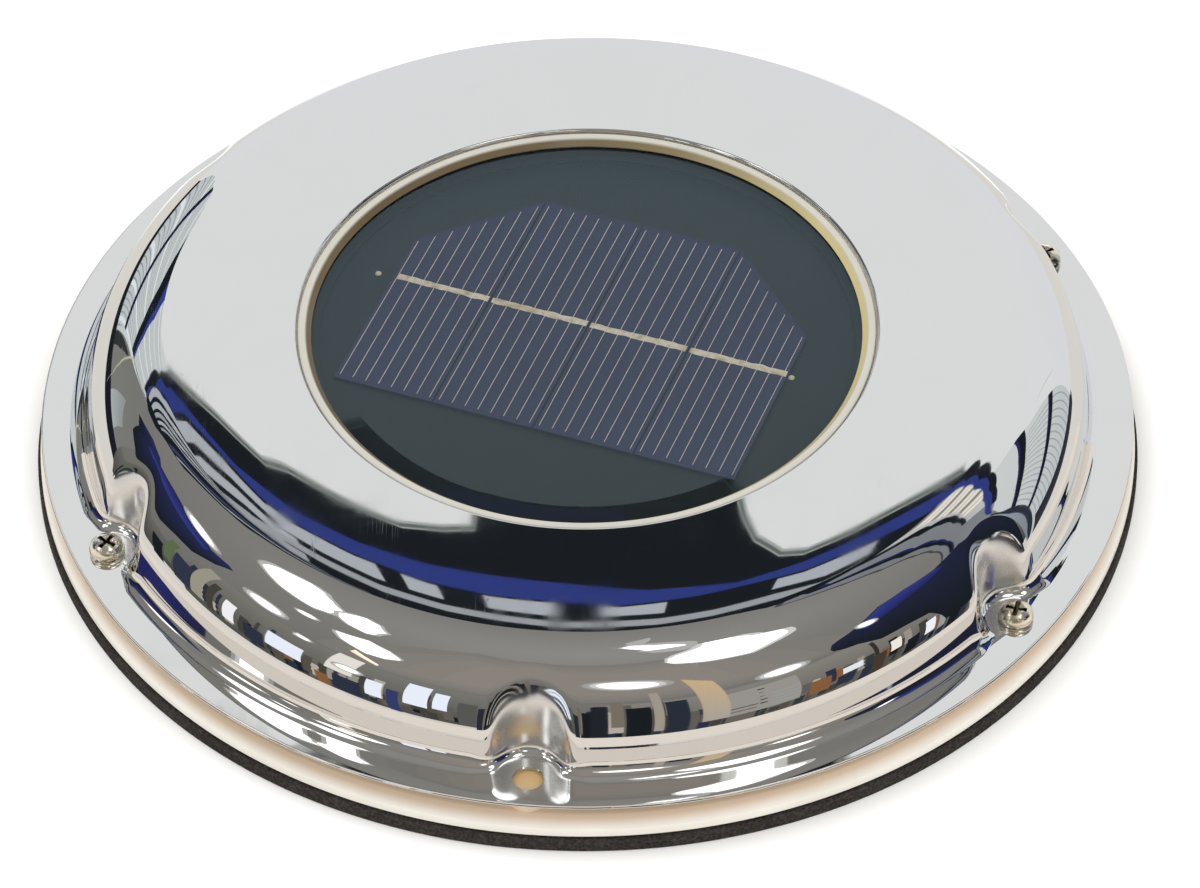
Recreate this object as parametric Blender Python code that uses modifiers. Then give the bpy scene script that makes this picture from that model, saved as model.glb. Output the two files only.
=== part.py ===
"""Low-profile solar roof vent: a polished dome with a solar panel over a battery-backed exhaust fan.

Metres, +Z up. The origin is the centre of the foam gasket's underside, which is the deck plane.
Everything above z = 0 stands on the deck; the collar, the shutter and the trim ring hang below it.
"""

import math

import bmesh
import bpy
from mathutils import Matrix, Vector

# Clearances, and the height at which drillings from below end
GAP = 0.0003
RUNNING = 0.0001
CUT_TOP = 0.0200

# Dome cover
SHEET = 0.0008
FLANGE_R = 0.1075
FLANGE_TOP = 0.0109
WINDOW_R = 0.0566
CROWN_TOP = 0.0328
LIP_SLOPE = math.tan(math.radians(0.6))
SHOULDER_TILT = math.radians(3.0)
SHOULDER_IN_R = 0.082
SHOULDER_BEND = 0.016
FOOT_BEND = 0.0035
FOOT_R = 0.1015
SHOULDER_Z = 0.0160
DOME_STEPS = 48
CUT_BELOW = 0.004
CUT_BEYOND = 0.005

# Cover screws: six recesses, one of them left without its screw
SCREW_R = 0.1008
SCREW_AZIMUTHS = [math.radians(23.4 + 60 * i) for i in range(6)]
EMPTY_RECESS = 4
PAD_TOP = FLANGE_TOP + 0.0002
RECESS_R_LOW = 0.0070
RECESS_R_HIGH = 0.0080
RECESS_CUT_TOP = 0.0400
CLEARANCE_HOLE_R = 0.0029
SHANK_R = 0.0018
HEAD_R = 0.0034
HEAD_HEIGHT = 0.0025
CROSS_HALF = 0.0019
CROSS_WIDTH = 0.00045
CROSS_DEPTH = 0.0012
SCREW_TURN = 0.7

# Base, gasket and deck screws
BASE_R = 0.1080
BASE_BOTTOM = 0.0033
BASE_TOP = 0.0075
DAM_TOP = 0.0190
COLLAR_OUT_R = 0.0575
COLLAR_IN_R = 0.0545
COLLAR_BOTTOM = -0.0280
PILLAR_R = 0.0047
PILLAR_TOP = FLANGE_TOP - SHEET - GAP
PILOT_R = SHANK_R + GAP
PILOT_BOTTOM = 0.0040
GASKET_R = 0.1088
GASKET_IN_R = 0.0620
GASKET_TOP = 0.0030
DECK_SCREW_R = 0.0800
DECK_SCREW_AZIMUTHS = [math.radians(45 + 90 * i) for i in range(4)]
DECK_SCREW_TIP = -0.0160
DECK_HEAD_R = 0.0042
COUNTERSINK = 0.0023

# Solar panel: tray, board, four cell strips, lens and bezel
TRAY_R = 0.0584
TRAY_RIM_R = 0.0640
TRAY_BOTTOM = 0.0242
TRAY_FLOOR = 0.0264
TRAY_LEDGE = 0.0285
TRAY_TOP = 0.0314
TRAY_WELL_R = 0.0528
TRAY_SEAT_R = 0.0559
TRAY_RIM = 0.0015
LENS_R = 0.0554
LENS_BOTTOM = 0.0297
LENS_TOP = 0.0309
BEZEL_RIM_R = 0.0549
BEZEL_IN_R = 0.0534
BOARD_R = 0.0524
BOARD_TOP = 0.0283
CELL_ANGLE = math.radians(-21.0)
CELL_CENTRE_U = -0.0008
CELL_HALF = 0.0413
CELL_BACK_V = 0.0341
CELL_CHAMFER_V = 0.0145
CELL_FRONT_V = -0.0276
CELL_GAP = 0.0003
CELL_THICK = 0.0003
RIBBON_V = 0.0033
RIBBON_WIDTH = 0.0015
RIBBON_INSET = 0.0002
RIBBON_THICK = 0.00015

# Motor, on the dome's axis under the tray
MOTOR_R = 0.0120
MOTOR_TOP = 0.0196
MOTOR_BOTTOM = 0.0060
SHAFT_R = 0.0010
SHAFT_BOTTOM = -0.0160
SHAFT_TOP = 0.0215
BUSH_R = 0.0026
BOSS_R = 0.0042
BOSS_BOTTOM = 0.0044
END_CAP_TOP = 0.0217
MAGNET_R = 0.0109
MAGNET_IN_R = 0.0095
ARMATURE = (0.0092, 0.0162)
COMMUTATOR = (0.0166, 0.0186)
MOUNT_TOP = TRAY_BOTTOM - GAP
MOUNT_FLANGE_R = 0.0190
MOUNT_SCREW_X = 0.0165
MOUNT_HOLE_R = 0.0015
MOUNT_CUP_R = 0.0140
MOUNT_BORE_R = 0.0123
MOUNT_FLANGE = 0.0016

# Impeller
IMPELLER_R = 0.0490
HUB_R = 0.0150
HUB_TOP = -0.0020
HUB_BOTTOM = -0.0130
BLADES = 5

# Battery compartment, beside the motor
BATTERY_X = 0.0290
BATTERY_Z = 0.0149
BATTERY_R = 0.0071
BATTERY_LENGTH = 0.0495
HOLDER_SIZE = (0.0180, 0.0570)
HOLDER_BOTTOM = 0.0050
HOLDER_WALL = 0.0015
LEAD_Z = 0.0195
DOOR_THICK = 0.0010
RIDGE_HALF = 0.0045

# Switch
SWITCH_X = -0.0270
SWITCH_TRAVEL = 0.0050
SWITCH_BOTTOM = 0.0159
SWITCH_HALF = (0.0030, 0.0095)
SLIDER_HALF = (0.0012, 0.0020)
SLIDER_Z = (0.0125, 0.0178)

# Leads, each a list of points from one end to the other, and the diode between two of them
LEAD_R = 0.0006
PANEL_LEAD_RED = [
    (-0.0040, 0.0340, 0.0262),
    (-0.0040, 0.0340, 0.0235),
    (-0.0010, 0.0340, 0.0226),
    (0.0030, 0.0340, 0.0225),
]
PANEL_LEAD_BLACK = [
    (-0.0110, 0.0310, 0.0262),
    (-0.0112, 0.0308, 0.0236),
    (-0.0165, 0.0240, 0.0222),
    (-0.0205, 0.0140, 0.0222),
    (-0.0218, 0.0000, 0.0222),
    (-0.0200, -0.0170, 0.0222),
    (-0.0060, -0.0300, 0.0222),
    (0.0130, -0.0355, 0.0215),
    (0.0260, -0.0345, 0.0200),
    (BATTERY_X, -0.0310, LEAD_Z),
    (BATTERY_X, -0.0285, LEAD_Z),
    (BATTERY_X, -0.0275, LEAD_Z),
]
BATTERY_LEAD_RED = [
    (0.0100, 0.0340, 0.0225),
    (0.0180, 0.0342, 0.0220),
    (0.0265, 0.0335, 0.0205),
    (BATTERY_X, 0.0305, LEAD_Z),
    (BATTERY_X, 0.0285, LEAD_Z),
    (BATTERY_X, 0.0272, LEAD_Z),
]
SWITCH_LEAD_RED = [
    (-0.0236, 0.0065, 0.0190),
    (-0.0210, 0.0064, 0.0190),
    (-0.0180, 0.0040, 0.0190),
    (-0.0155, 0.0012, 0.0192),
    (-0.0125, 0.0010, 0.0206),
    (-0.0122, 0.0010, 0.0207),
]
DIODE = ((0.0034, 0.0340, 0.0225), (0.0096, 0.0340, 0.0225))

# Shutter, insect screen and trim ring at the collar's lower end
GRILLE_R = 0.0519
GRILLE_TOP = -0.0288
GRILLE_THICK = 0.0018
SHUTTER_R = 0.0510
SHUTTER_THICK = 0.0012
SPOKES = 6
OPENING_ANGLE = math.radians(28)
OPENING_IN_R = 0.0150
OPENING_OUT_R = 0.0455
TRIM_R = 0.0795
TRIM_TOP = COLLAR_BOTTOM - 0.0004
TRIM_BOTTOM = -0.0310
SLEEVE_TOP = -0.0160
SCREEN_Z = -0.0232
SLEEVE_OUT_R = 0.0542
SLEEVE_IN_R = 0.0523
SCREEN_R = 0.0520
SCREEN_RIM_R = 0.0500
KNOB_R = 0.0108
SPINDLE_R = 0.0020


def clear_scene():
    for obj in list(bpy.data.objects):
        bpy.data.objects.remove(obj, do_unlink=True)


def new_collection(name):
    made = bpy.data.collections.new(name)
    bpy.context.scene.collection.children.link(made)
    return made


def material(name, colour, roughness, metallic=0.0, alpha=1.0):
    made = bpy.data.materials.new(name)
    made.use_nodes = True
    shader = made.node_tree.nodes["Principled BSDF"]
    shader.inputs["Base Color"].default_value = (*colour, 1.0)
    shader.inputs["Roughness"].default_value = roughness
    shader.inputs["Metallic"].default_value = metallic
    shader.inputs["Alpha"].default_value = alpha
    made.diffuse_color = (*colour, alpha)
    return made


def place(name, data, finish=None, parent=None):
    """A part when it has a finish, and a cutter when it has none."""
    obj = bpy.data.objects.new(name, data)
    if finish:
        PARTS.objects.link(obj)
        data.materials.append(finish)
    else:
        CUTTERS.objects.link(obj)
        obj.hide_render = True
        obj.display_type = "WIRE"
    obj.parent = parent
    return obj


def axis_empty(name, location):
    empty = bpy.data.objects.new(name, None)
    empty.location = location
    empty.empty_display_size = 0.01
    PARTS.objects.link(empty)
    return empty


def mesh_from(bm, name):
    mesh = bpy.data.meshes.new(name)
    bm.to_mesh(mesh)
    bm.free()
    return mesh


def polar(radius, angle, z=0.0):
    return Vector((radius * math.cos(angle), radius * math.sin(angle), z))


def arc(centre, radius, first, last, steps):
    """Points of an arc in a profile or an outline, with angles in degrees."""
    angles = [math.radians(first + (last - first) * i / steps) for i in range(steps + 1)]
    return [(centre[0] + radius * math.cos(a), centre[1] + radius * math.sin(a)) for a in angles]


def turned(name, profile, finish=None, steps=48, parent=None):
    """A solid turned about Z from (radius, height) points that run down its outer side.

    A profile that starts and ends on the axis is open; any other profile is a closed ring section.
    """
    bm = bmesh.new()
    points = [bm.verts.new((radius, 0.0, height)) for radius, height in profile]
    solid = profile[0][0] == 0.0
    following = points[1:] if solid else points[1:] + points[:1]
    for start, end in zip(points, following):
        bm.edges.new((start, end))
    obj = place(name, mesh_from(bm, name), finish, parent)
    screw = obj.modifiers.new("Turn", "SCREW")
    screw.steps = steps
    screw.render_steps = steps
    screw.use_merge_vertices = True
    screw.merge_threshold = 1e-6
    screw.use_smooth_shade = True
    return obj


def rods(name, places, radius, bottom, top, finish=None, top_radius=None, sides=18):
    """One upright cylinder or cone at each place, all in one object."""
    bm = bmesh.new()
    for x, y in places:
        middle = Matrix.Translation((x, y, (bottom + top) / 2))
        bmesh.ops.create_cone(
            bm,
            cap_ends=True,
            segments=sides,
            radius1=radius,
            radius2=radius if top_radius is None else top_radius,
            depth=top - bottom,
            matrix=middle,
        )
    return place(name, mesh_from(bm, name), finish)


def box(name, low, high, finish=None, bevel=0.0, parent=None):
    bm = bmesh.new()
    size = [b - a for a, b in zip(low, high)]
    middle = [(a + b) / 2 for a, b in zip(low, high)]
    matrix = Matrix.Translation(middle) @ Matrix.Diagonal((*size, 1.0))
    bmesh.ops.create_cube(bm, size=1.0, matrix=matrix)
    obj = place(name, mesh_from(bm, name), finish, parent)
    if bevel:
        edge = obj.modifiers.new("Rounded edges", "BEVEL")
        edge.width = bevel
        edge.segments = 2
    return obj


def boolean(obj, cutter, operation="DIFFERENCE"):
    cut = obj.modifiers.new(cutter.name, "BOOLEAN")
    cut.operation = operation
    cut.object = cutter
    cut.solver = "EXACT"


def curve_object(name, splines, finish=None, dimensions="3D", cyclic=False, parent=None):
    curve = bpy.data.curves.new(name, "CURVE")
    curve.dimensions = dimensions
    for points in splines:
        spline = curve.splines.new("POLY")
        spline.points.add(len(points) - 1)
        for target, point in zip(spline.points, points):
            target.co = (*point, 1.0)
        spline.use_cyclic_u = cyclic
    return place(name, curve, finish, parent)


def plate(name, outlines, bottom, top, finish=None, parent=None):
    """A flat plate from closed outlines; an outline inside another is a hole."""
    splines = [[(x, y, 0.0) for x, y in outline] for outline in outlines]
    obj = curve_object(name, splines, finish, "2D", True, parent)
    obj.data.fill_mode = "BOTH"
    obj.data.extrude = (top - bottom) / 2
    obj.location.z = (bottom + top) / 2
    return as_mesh(obj)


def wire(name, route, diameter, finish, parent=None):
    """A round wire along a smooth curve through the route's points."""
    obj = curve_object(name, [smooth_route(route, diameter * 3)], finish, parent=parent)
    obj.data.bevel_depth = diameter / 2
    obj.data.bevel_resolution = 2
    obj.data.use_fill_caps = True
    return obj


def smooth_route(route, spacing):
    """Catmull-Rom points through the route, about one spacing apart."""
    points = [Vector(p) for p in route]
    ends = [2 * points[0] - points[1]] + points + [2 * points[-1] - points[-2]]
    result = [points[0]]
    for a, b, c, d in zip(ends, ends[1:], ends[2:], ends[3:]):
        count = max(1, round((c - b).length / spacing))
        for i in range(1, count + 1):
            t = i / count
            bend = 2 * a - 5 * b + 4 * c - d
            twist = 3 * b - a - 3 * c + d
            result.append(b + 0.5 * ((c - a) * t + bend * t**2 + twist * t**3))
    return result


def evaluated_mesh(obj):
    """The object's shape with its modifiers, as a closed mesh."""
    graph = bpy.context.evaluated_depsgraph_get()
    mesh = bpy.data.meshes.new_from_object(obj.evaluated_get(graph))
    bm = bmesh.new()
    bm.from_mesh(mesh)
    bmesh.ops.remove_doubles(bm, verts=bm.verts, dist=1e-6)
    bm.to_mesh(mesh)
    bm.free()
    return mesh


def as_mesh(obj):
    """Replaces a curve object by a mesh object with its name, place and collection."""
    bpy.context.view_layer.update()
    mesh = evaluated_mesh(obj)
    name, matrix, parent = obj.name, obj.matrix_world.copy(), obj.parent
    homes = list(obj.users_collection)
    hidden, display = obj.hide_render, obj.display_type
    bpy.data.objects.remove(obj, do_unlink=True)
    mesh.name = name
    made = bpy.data.objects.new(name, mesh)
    for home in homes:
        home.objects.link(made)
    made.hide_render = hidden
    made.display_type = display
    made.parent = parent
    made.matrix_world = matrix
    return made


def crown_outline(inset):
    """The nearly flat crown, which steepens evenly from the window's edge until it meets the shoulder."""
    steps = 2
    end_r = SHOULDER_IN_R + SHOULDER_BEND * math.sin(SHOULDER_TILT)
    end_z = SHOULDER_Z + SHOULDER_BEND * math.cos(SHOULDER_TILT)
    end_slope = math.tan(SHOULDER_TILT)
    points = []
    for i in range(steps):
        left = (end_r - WINDOW_R) * (1 - i / steps)
        bend = (end_slope - LIP_SLOPE) / (end_r - WINDOW_R) / 2
        points.append((end_r - left, end_z + end_slope * left - bend * left**2 - inset))
    return points


def dome_outline(inset):
    """Crown, shoulder, wall and foot of the dome, from the window's edge to the flange."""
    crown = crown_outline(inset)
    first = 90 - math.degrees(SHOULDER_TILT)
    shoulder = arc((SHOULDER_IN_R, SHOULDER_Z), SHOULDER_BEND - inset, first, 0, 6)
    foot_centre = (FOOT_R, FLANGE_TOP + FOOT_BEND)
    foot = arc(foot_centre, FOOT_BEND + inset, 180, 270, 3)
    return crown + shoulder + foot


def make_dome_cover():
    below = FLANGE_TOP - CUT_BELOW
    spots = [polar(SCREW_R, a).xy for a in SCREW_AZIMUTHS]
    outer = dome_outline(0.0) + [(FLANGE_R, FLANGE_TOP), (FLANGE_R, below), (WINDOW_R, below)]
    cover = turned("dome_cover", outer, STEEL, DOME_STEPS)
    recesses = rods("recess_cutter", spots, RECESS_R_LOW, PAD_TOP, RECESS_CUT_TOP, top_radius=RECESS_R_HIGH)
    boolean(cover, recesses)

    inner_r = WINDOW_R - CUT_BEYOND
    beyond = FLANGE_R + CUT_BEYOND
    inner = [(inner_r, CROWN_TOP - SHEET)] + dome_outline(SHEET)
    inner += [(beyond, FLANGE_TOP - SHEET), (beyond, below - 0.002), (inner_r, below - 0.002)]
    core = turned("dome_core", inner, steps=DOME_STEPS)
    walls = rods(
        "recess_wall_cutter",
        spots,
        RECESS_R_LOW + SHEET,
        PAD_TOP - SHEET,
        RECESS_CUT_TOP,
        top_radius=RECESS_R_HIGH + SHEET,
    )
    boolean(core, walls)
    boolean(cover, core)
    boolean(cover, rods("cover_hole_cutter", spots, CLEARANCE_HOLE_R, 0.0, CUT_TOP, sides=14))


def pan_head_screw_mesh():
    """A pan-head screw with a cross recess, its head's underside at z = 0."""
    length = PAD_TOP + GAP - PILOT_BOTTOM - 0.0004
    profile = [
        (0.0, HEAD_HEIGHT),
        (0.6 * HEAD_R, HEAD_HEIGHT - 0.0002),
        (0.9 * HEAD_R, HEAD_HEIGHT - 0.0008),
        (HEAD_R, HEAD_HEIGHT - 0.0016),
        (HEAD_R, 0.0),
        (SHANK_R, 0.0),
        (SHANK_R, -length + 0.001),
        (0.0, -length),
    ]
    screw = turned("screw_pattern", profile, STEEL, 14)
    low, high = HEAD_HEIGHT - CROSS_DEPTH, HEAD_HEIGHT + CROSS_DEPTH
    for name, x, y in [("slot_x", CROSS_HALF, CROSS_WIDTH), ("slot_y", CROSS_WIDTH, CROSS_HALF)]:
        boolean(screw, box(name, (-x, -y, low), (x, y, high)))
    bpy.context.view_layer.update()
    mesh = evaluated_mesh(screw)
    bpy.data.objects.remove(screw, do_unlink=True)
    return mesh


def make_cover_screws():
    mesh = pan_head_screw_mesh()
    number = 0
    for i, azimuth in enumerate(SCREW_AZIMUTHS):
        if i == EMPTY_RECESS:
            continue
        number += 1
        screw = bpy.data.objects.new(f"cover_screw_{number}", mesh)
        PARTS.objects.link(screw)
        screw.location = polar(SCREW_R, azimuth, PAD_TOP + GAP)
        screw.rotation_euler.z = azimuth + SCREW_TURN * i


def make_base():
    profile = [
        (COLLAR_OUT_R - 0.0010, DAM_TOP),
        (COLLAR_OUT_R - 0.0005, BASE_TOP + 0.0004),
        (BASE_R - 0.0040, BASE_TOP),
        (BASE_R - 0.0025, BASE_TOP - 0.0006),
        (BASE_R, BASE_TOP - 0.0022),
        (BASE_R, BASE_BOTTOM),
        (COLLAR_OUT_R, BASE_BOTTOM),
        (COLLAR_OUT_R, COLLAR_BOTTOM),
        (COLLAR_IN_R, COLLAR_BOTTOM),
        (COLLAR_IN_R, DAM_TOP),
    ]
    base = turned("vent_base", profile, CREAM, DOME_STEPS)
    spots = [polar(SCREW_R, a).xy for a in SCREW_AZIMUTHS]
    pillars = rods("pillar_cutter", spots, PILLAR_R, BASE_BOTTOM + 0.001, PILLAR_TOP, sides=14)
    boolean(base, pillars, "UNION")
    drilled = [spot for i, spot in enumerate(spots) if i != EMPTY_RECESS]
    boolean(base, rods("pilot_cutter", drilled, PILOT_R, PILOT_BOTTOM, CUT_TOP, sides=12))
    deck_spots = [polar(DECK_SCREW_R, a).xy for a in DECK_SCREW_AZIMUTHS]
    boolean(base, rods("deck_hole_cutter", deck_spots, PILOT_R, 0.0, CUT_TOP, sides=12))
    sink_low, sink_high = BASE_TOP - COUNTERSINK, BASE_TOP + 0.0007
    sink_r = DECK_HEAD_R + 0.0008
    cutter = rods("countersink_cutter", deck_spots, PILOT_R, sink_low, sink_high, None, sink_r, 12)
    boolean(base, cutter)


def make_gasket():
    profile = [
        (GASKET_R, GASKET_TOP),
        (GASKET_R, 0.0),
        (GASKET_IN_R, 0.0),
        (GASKET_IN_R, GASKET_TOP),
    ]
    gasket = turned("deck_gasket", profile, FOAM, DOME_STEPS)
    spots = [polar(DECK_SCREW_R, a).xy for a in DECK_SCREW_AZIMUTHS]
    boolean(gasket, rods("gasket_hole_cutter", spots, PILOT_R, -GAP, CUT_TOP, sides=12))


def make_deck_screws():
    profile = [
        (0.0, BASE_TOP),
        (DECK_HEAD_R, BASE_TOP),
        (SHANK_R + 0.0001, BASE_TOP - 0.0023),
        (SHANK_R, BASE_TOP - 0.0030),
        (SHANK_R, DECK_SCREW_TIP + 0.003),
        (0.0, DECK_SCREW_TIP),
    ]
    for number, azimuth in enumerate(DECK_SCREW_AZIMUTHS, 1):
        screw = turned(f"deck_screw_{number}", profile, STEEL, 12)
        screw.location = polar(DECK_SCREW_R, azimuth)


def make_panel_tray():
    profile = [
        (0.0, TRAY_FLOOR),
        (TRAY_WELL_R, TRAY_FLOOR),
        (TRAY_WELL_R, TRAY_LEDGE),
        (TRAY_SEAT_R, TRAY_LEDGE),
        (TRAY_SEAT_R, TRAY_TOP),
        (TRAY_RIM_R, TRAY_TOP),
        (TRAY_RIM_R, TRAY_TOP - TRAY_RIM),
        (TRAY_R, TRAY_TOP - TRAY_RIM),
        (TRAY_R, TRAY_BOTTOM),
        (0.0, TRAY_BOTTOM),
    ]
    tray = turned("panel_tray", profile, CREAM, 40)
    leads = [PANEL_LEAD_RED[0][:2], PANEL_LEAD_BLACK[0][:2]]
    boolean(tray, rods("lead_hole_cutter", leads, 2 * LEAD_R, CUT_TOP, TRAY_TOP, sides=12))
    screws = [(MOUNT_SCREW_X, 0.0), (-MOUNT_SCREW_X, 0.0)]
    boolean(tray, rods("mount_pilot_cutter", screws, MOUNT_HOLE_R, CUT_TOP, 0.0259, sides=12))


def make_panel():
    board_low = TRAY_FLOOR + GAP
    board = [(0.0, BOARD_TOP), (BOARD_R, BOARD_TOP), (BOARD_R, board_low), (0.0, board_low)]
    turned("cell_board", board, BOARD, 40)
    lens = [
        (0.0, LENS_TOP),
        (LENS_R - 0.0003, LENS_TOP),
        (LENS_R, LENS_TOP - 0.0003),
        (LENS_R, LENS_BOTTOM),
        (0.0, LENS_BOTTOM),
    ]
    turned("panel_lens", lens, LENS, 48)
    seal_top, seal_bottom = LENS_BOTTOM - GAP, TRAY_LEDGE + GAP
    seal_out, seal_in = TRAY_SEAT_R - GAP, TRAY_WELL_R + 0.0004
    seal = [(seal_out, seal_top), (seal_out, seal_bottom), (seal_in, seal_bottom), (seal_in, seal_top)]
    turned("lens_seal", seal, RUBBER, 36)
    bezel = [
        (BEZEL_RIM_R, CROWN_TOP),
        (WINDOW_R - GAP, CROWN_TOP),
        (WINDOW_R - GAP, TRAY_TOP + GAP),
        (LENS_R, TRAY_TOP + GAP),
        (LENS_R, LENS_TOP + GAP),
        (BEZEL_IN_R, LENS_TOP + GAP),
    ]
    turned("window_bezel", bezel, CREAM, DOME_STEPS)
    for number in range(4):
        make_cell_strip(number)


def cell_back_edge(u):
    """The cell's far edge: straight in the middle, with a chamfer towards each side."""
    outside = max(0.0, abs(u) - CELL_HALF / 2)
    return CELL_BACK_V - (CELL_BACK_V - CELL_CHAMFER_V) * outside / (CELL_HALF / 2)


def make_cell_strip(number):
    """One quarter of the cell with its conductor ribbon, side by side with the others along u."""
    width = CELL_HALF / 2
    low = -CELL_HALF + number * width + CELL_GAP / 2
    high = low + width - CELL_GAP
    outline = [
        (low, CELL_FRONT_V),
        (high, CELL_FRONT_V),
        (high, cell_back_edge(high)),
        (low, cell_back_edge(low)),
    ]
    bottom = BOARD_TOP + GAP
    strip = plate(
        f"cell_strip_{number + 1}",
        [[(CELL_CENTRE_U + u, v) for u, v in outline]],
        bottom,
        bottom + CELL_THICK,
        CELL,
    )
    ribbon_bottom = bottom + CELL_THICK + GAP
    ribbon = box(
        f"cell_ribbon_{number + 1}",
        (CELL_CENTRE_U + low + RIBBON_INSET, RIBBON_V - RIBBON_WIDTH / 2, ribbon_bottom),
        (CELL_CENTRE_U + high - RIBBON_INSET, RIBBON_V + RIBBON_WIDTH / 2, ribbon_bottom + RIBBON_THICK),
        SOLDER,
    )
    for piece in (strip, ribbon):
        piece.rotation_euler.z = CELL_ANGLE


def make_motor_case():
    can = [
        (MOTOR_R, MOTOR_TOP),
        (MOTOR_R, MOTOR_BOTTOM),
        (BOSS_R, MOTOR_BOTTOM),
        (BOSS_R, BOSS_BOTTOM),
        (BUSH_R + 0.0004, BOSS_BOTTOM),
        (BUSH_R + 0.0004, MOTOR_BOTTOM + SHEET),
        (MOTOR_R - SHEET, MOTOR_BOTTOM + SHEET),
        (MOTOR_R - SHEET, MOTOR_TOP),
    ]
    turned("motor_can", can, DARK_STEEL, 24)
    cap_low = MOTOR_TOP + GAP
    end_cap = [
        (MOTOR_R - 0.0001, END_CAP_TOP),
        (MOTOR_R - 0.0001, cap_low),
        (MOTOR_R - 0.0011, cap_low),
        (MOTOR_R - 0.0011, cap_low - 0.0009),
        (BUSH_R + GAP, cap_low - 0.0009),
        (BUSH_R + GAP, END_CAP_TOP),
    ]
    turned("motor_end_cap", end_cap, BLACK, 24)
    for name, low, high in [("lower", 0.0046, 0.0070), ("upper", 0.0192, 0.0214)]:
        bush = [
            (BUSH_R, high),
            (BUSH_R, low),
            (SHAFT_R + RUNNING, low),
            (SHAFT_R + RUNNING, high),
        ]
        turned(f"motor_bush_{name}", bush, BRASS, 20)
    for name, turn in [("left", 180), ("right", 0)]:
        outside = arc((0.0, 0.0), MAGNET_R, turn - 60, turn + 60, 10)
        inside = arc((0.0, 0.0), MAGNET_IN_R, turn + 60, turn - 60, 10)
        plate(f"motor_magnet_{name}", [outside + inside], 0.0080, 0.0170, MAGNET)


def make_motor_mount():
    cup = [
        (0.0, MOUNT_TOP),
        (MOUNT_FLANGE_R, MOUNT_TOP),
        (MOUNT_FLANGE_R, MOUNT_TOP - MOUNT_FLANGE),
        (MOUNT_CUP_R, MOUNT_TOP - MOUNT_FLANGE),
        (MOUNT_CUP_R, MOTOR_BOTTOM + 0.0030),
        (MOUNT_BORE_R, MOTOR_BOTTOM + 0.0030),
        (MOUNT_BORE_R, END_CAP_TOP + GAP),
        (0.0, END_CAP_TOP + GAP),
    ]
    mount = turned("motor_mount", cup, CREAM, 24)
    boolean(mount, box("lead_slot_cutter", (-0.0160, -0.0030, 0.0165), (-0.0110, 0.0030, 0.0216)))
    screws = [(MOUNT_SCREW_X, 0.0), (-MOUNT_SCREW_X, 0.0)]
    boolean(mount, rods("mount_hole_cutter", screws, MOUNT_HOLE_R, CUT_TOP, TRAY_TOP, sides=12))
    head_top = MOUNT_TOP - MOUNT_FLANGE - GAP
    profile = [
        (0.0, 0.0256),
        (0.0012, 0.0252),
        (0.0012, head_top),
        (0.0023, head_top),
        (0.0023, head_top - 0.0012),
        (0.0, head_top - 0.0016),
    ]
    for number, (x, y) in enumerate(screws, 1):
        screw = turned(f"motor_screw_{number}", profile, STEEL, 16)
        screw.location = (x, y, 0.0)


def armature_outline():
    """Three mushroom-shaped poles round a core."""
    core_r, neck_r, pole_r = 0.0032, 0.0078, 0.0090
    points = []
    for pole in range(3):
        middle = 120 * pole
        points += arc((0.0, 0.0), core_r, middle - 60, middle - 40, 2)
        points += arc((0.0, 0.0), neck_r, middle - 16, middle - 46, 1)
        points += arc((0.0, 0.0), pole_r, middle - 48, middle + 48, 8)
        points += arc((0.0, 0.0), neck_r, middle + 46, middle + 16, 1)
        points += arc((0.0, 0.0), core_r, middle + 40, middle + 50, 1)
    return points


def make_rotor():
    spin = axis_empty("fan_axis", (0.0, 0.0, 0.0))
    shaft = [
        (0.0, SHAFT_TOP),
        (SHAFT_R, SHAFT_TOP - 0.0003),
        (SHAFT_R, SHAFT_BOTTOM + 0.0003),
        (0.0, SHAFT_BOTTOM),
    ]
    turned("motor_shaft", shaft, STEEL, 20, spin)
    bore = arc((0.0, 0.0), SHAFT_R + GAP, 0, 330, 11)
    plate("motor_armature", [armature_outline(), bore], *ARMATURE, DARK_STEEL, spin)
    bore_r = SHAFT_R + GAP
    low, high = COMMUTATOR
    commutator = [(0.0024, high), (0.0024, low), (bore_r, low), (bore_r, high)]
    turned("motor_commutator", commutator, BRASS, 16, spin)
    make_impeller(spin, bore_r)
    clip_top = HUB_BOTTOM + 0.0010 - GAP
    clip_low = clip_top - 0.0023
    clip = [(0.0034, clip_top), (0.0034, clip_low), (bore_r, clip_low), (bore_r, clip_top)]
    turned("impeller_clip", clip, STEEL, 20, spin)


def make_impeller(parent, bore_r):
    """A cup-shaped hub with a boss for the shaft, and blades that twist towards the tip."""
    wall = 0.0014
    hub = [
        (bore_r, 0.0024),
        (0.0040, 0.0024),
        (0.0040, HUB_TOP),
        (HUB_R - 0.0010, HUB_TOP),
        (HUB_R, HUB_TOP - 0.0010),
        (HUB_R, HUB_BOTTOM),
        (HUB_R - wall, HUB_BOTTOM),
        (HUB_R - wall, HUB_TOP - wall),
        (0.0040, HUB_TOP - wall),
        (0.0040, HUB_BOTTOM + 0.0010),
        (bore_r, HUB_BOTTOM + 0.0010),
    ]
    impeller = turned("impeller", hub, BLACK, 24, parent)
    for number in range(BLADES):
        blade = blade_cutter(number, wall)
        blade.parent = parent
        boolean(impeller, blade, "UNION")


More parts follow.
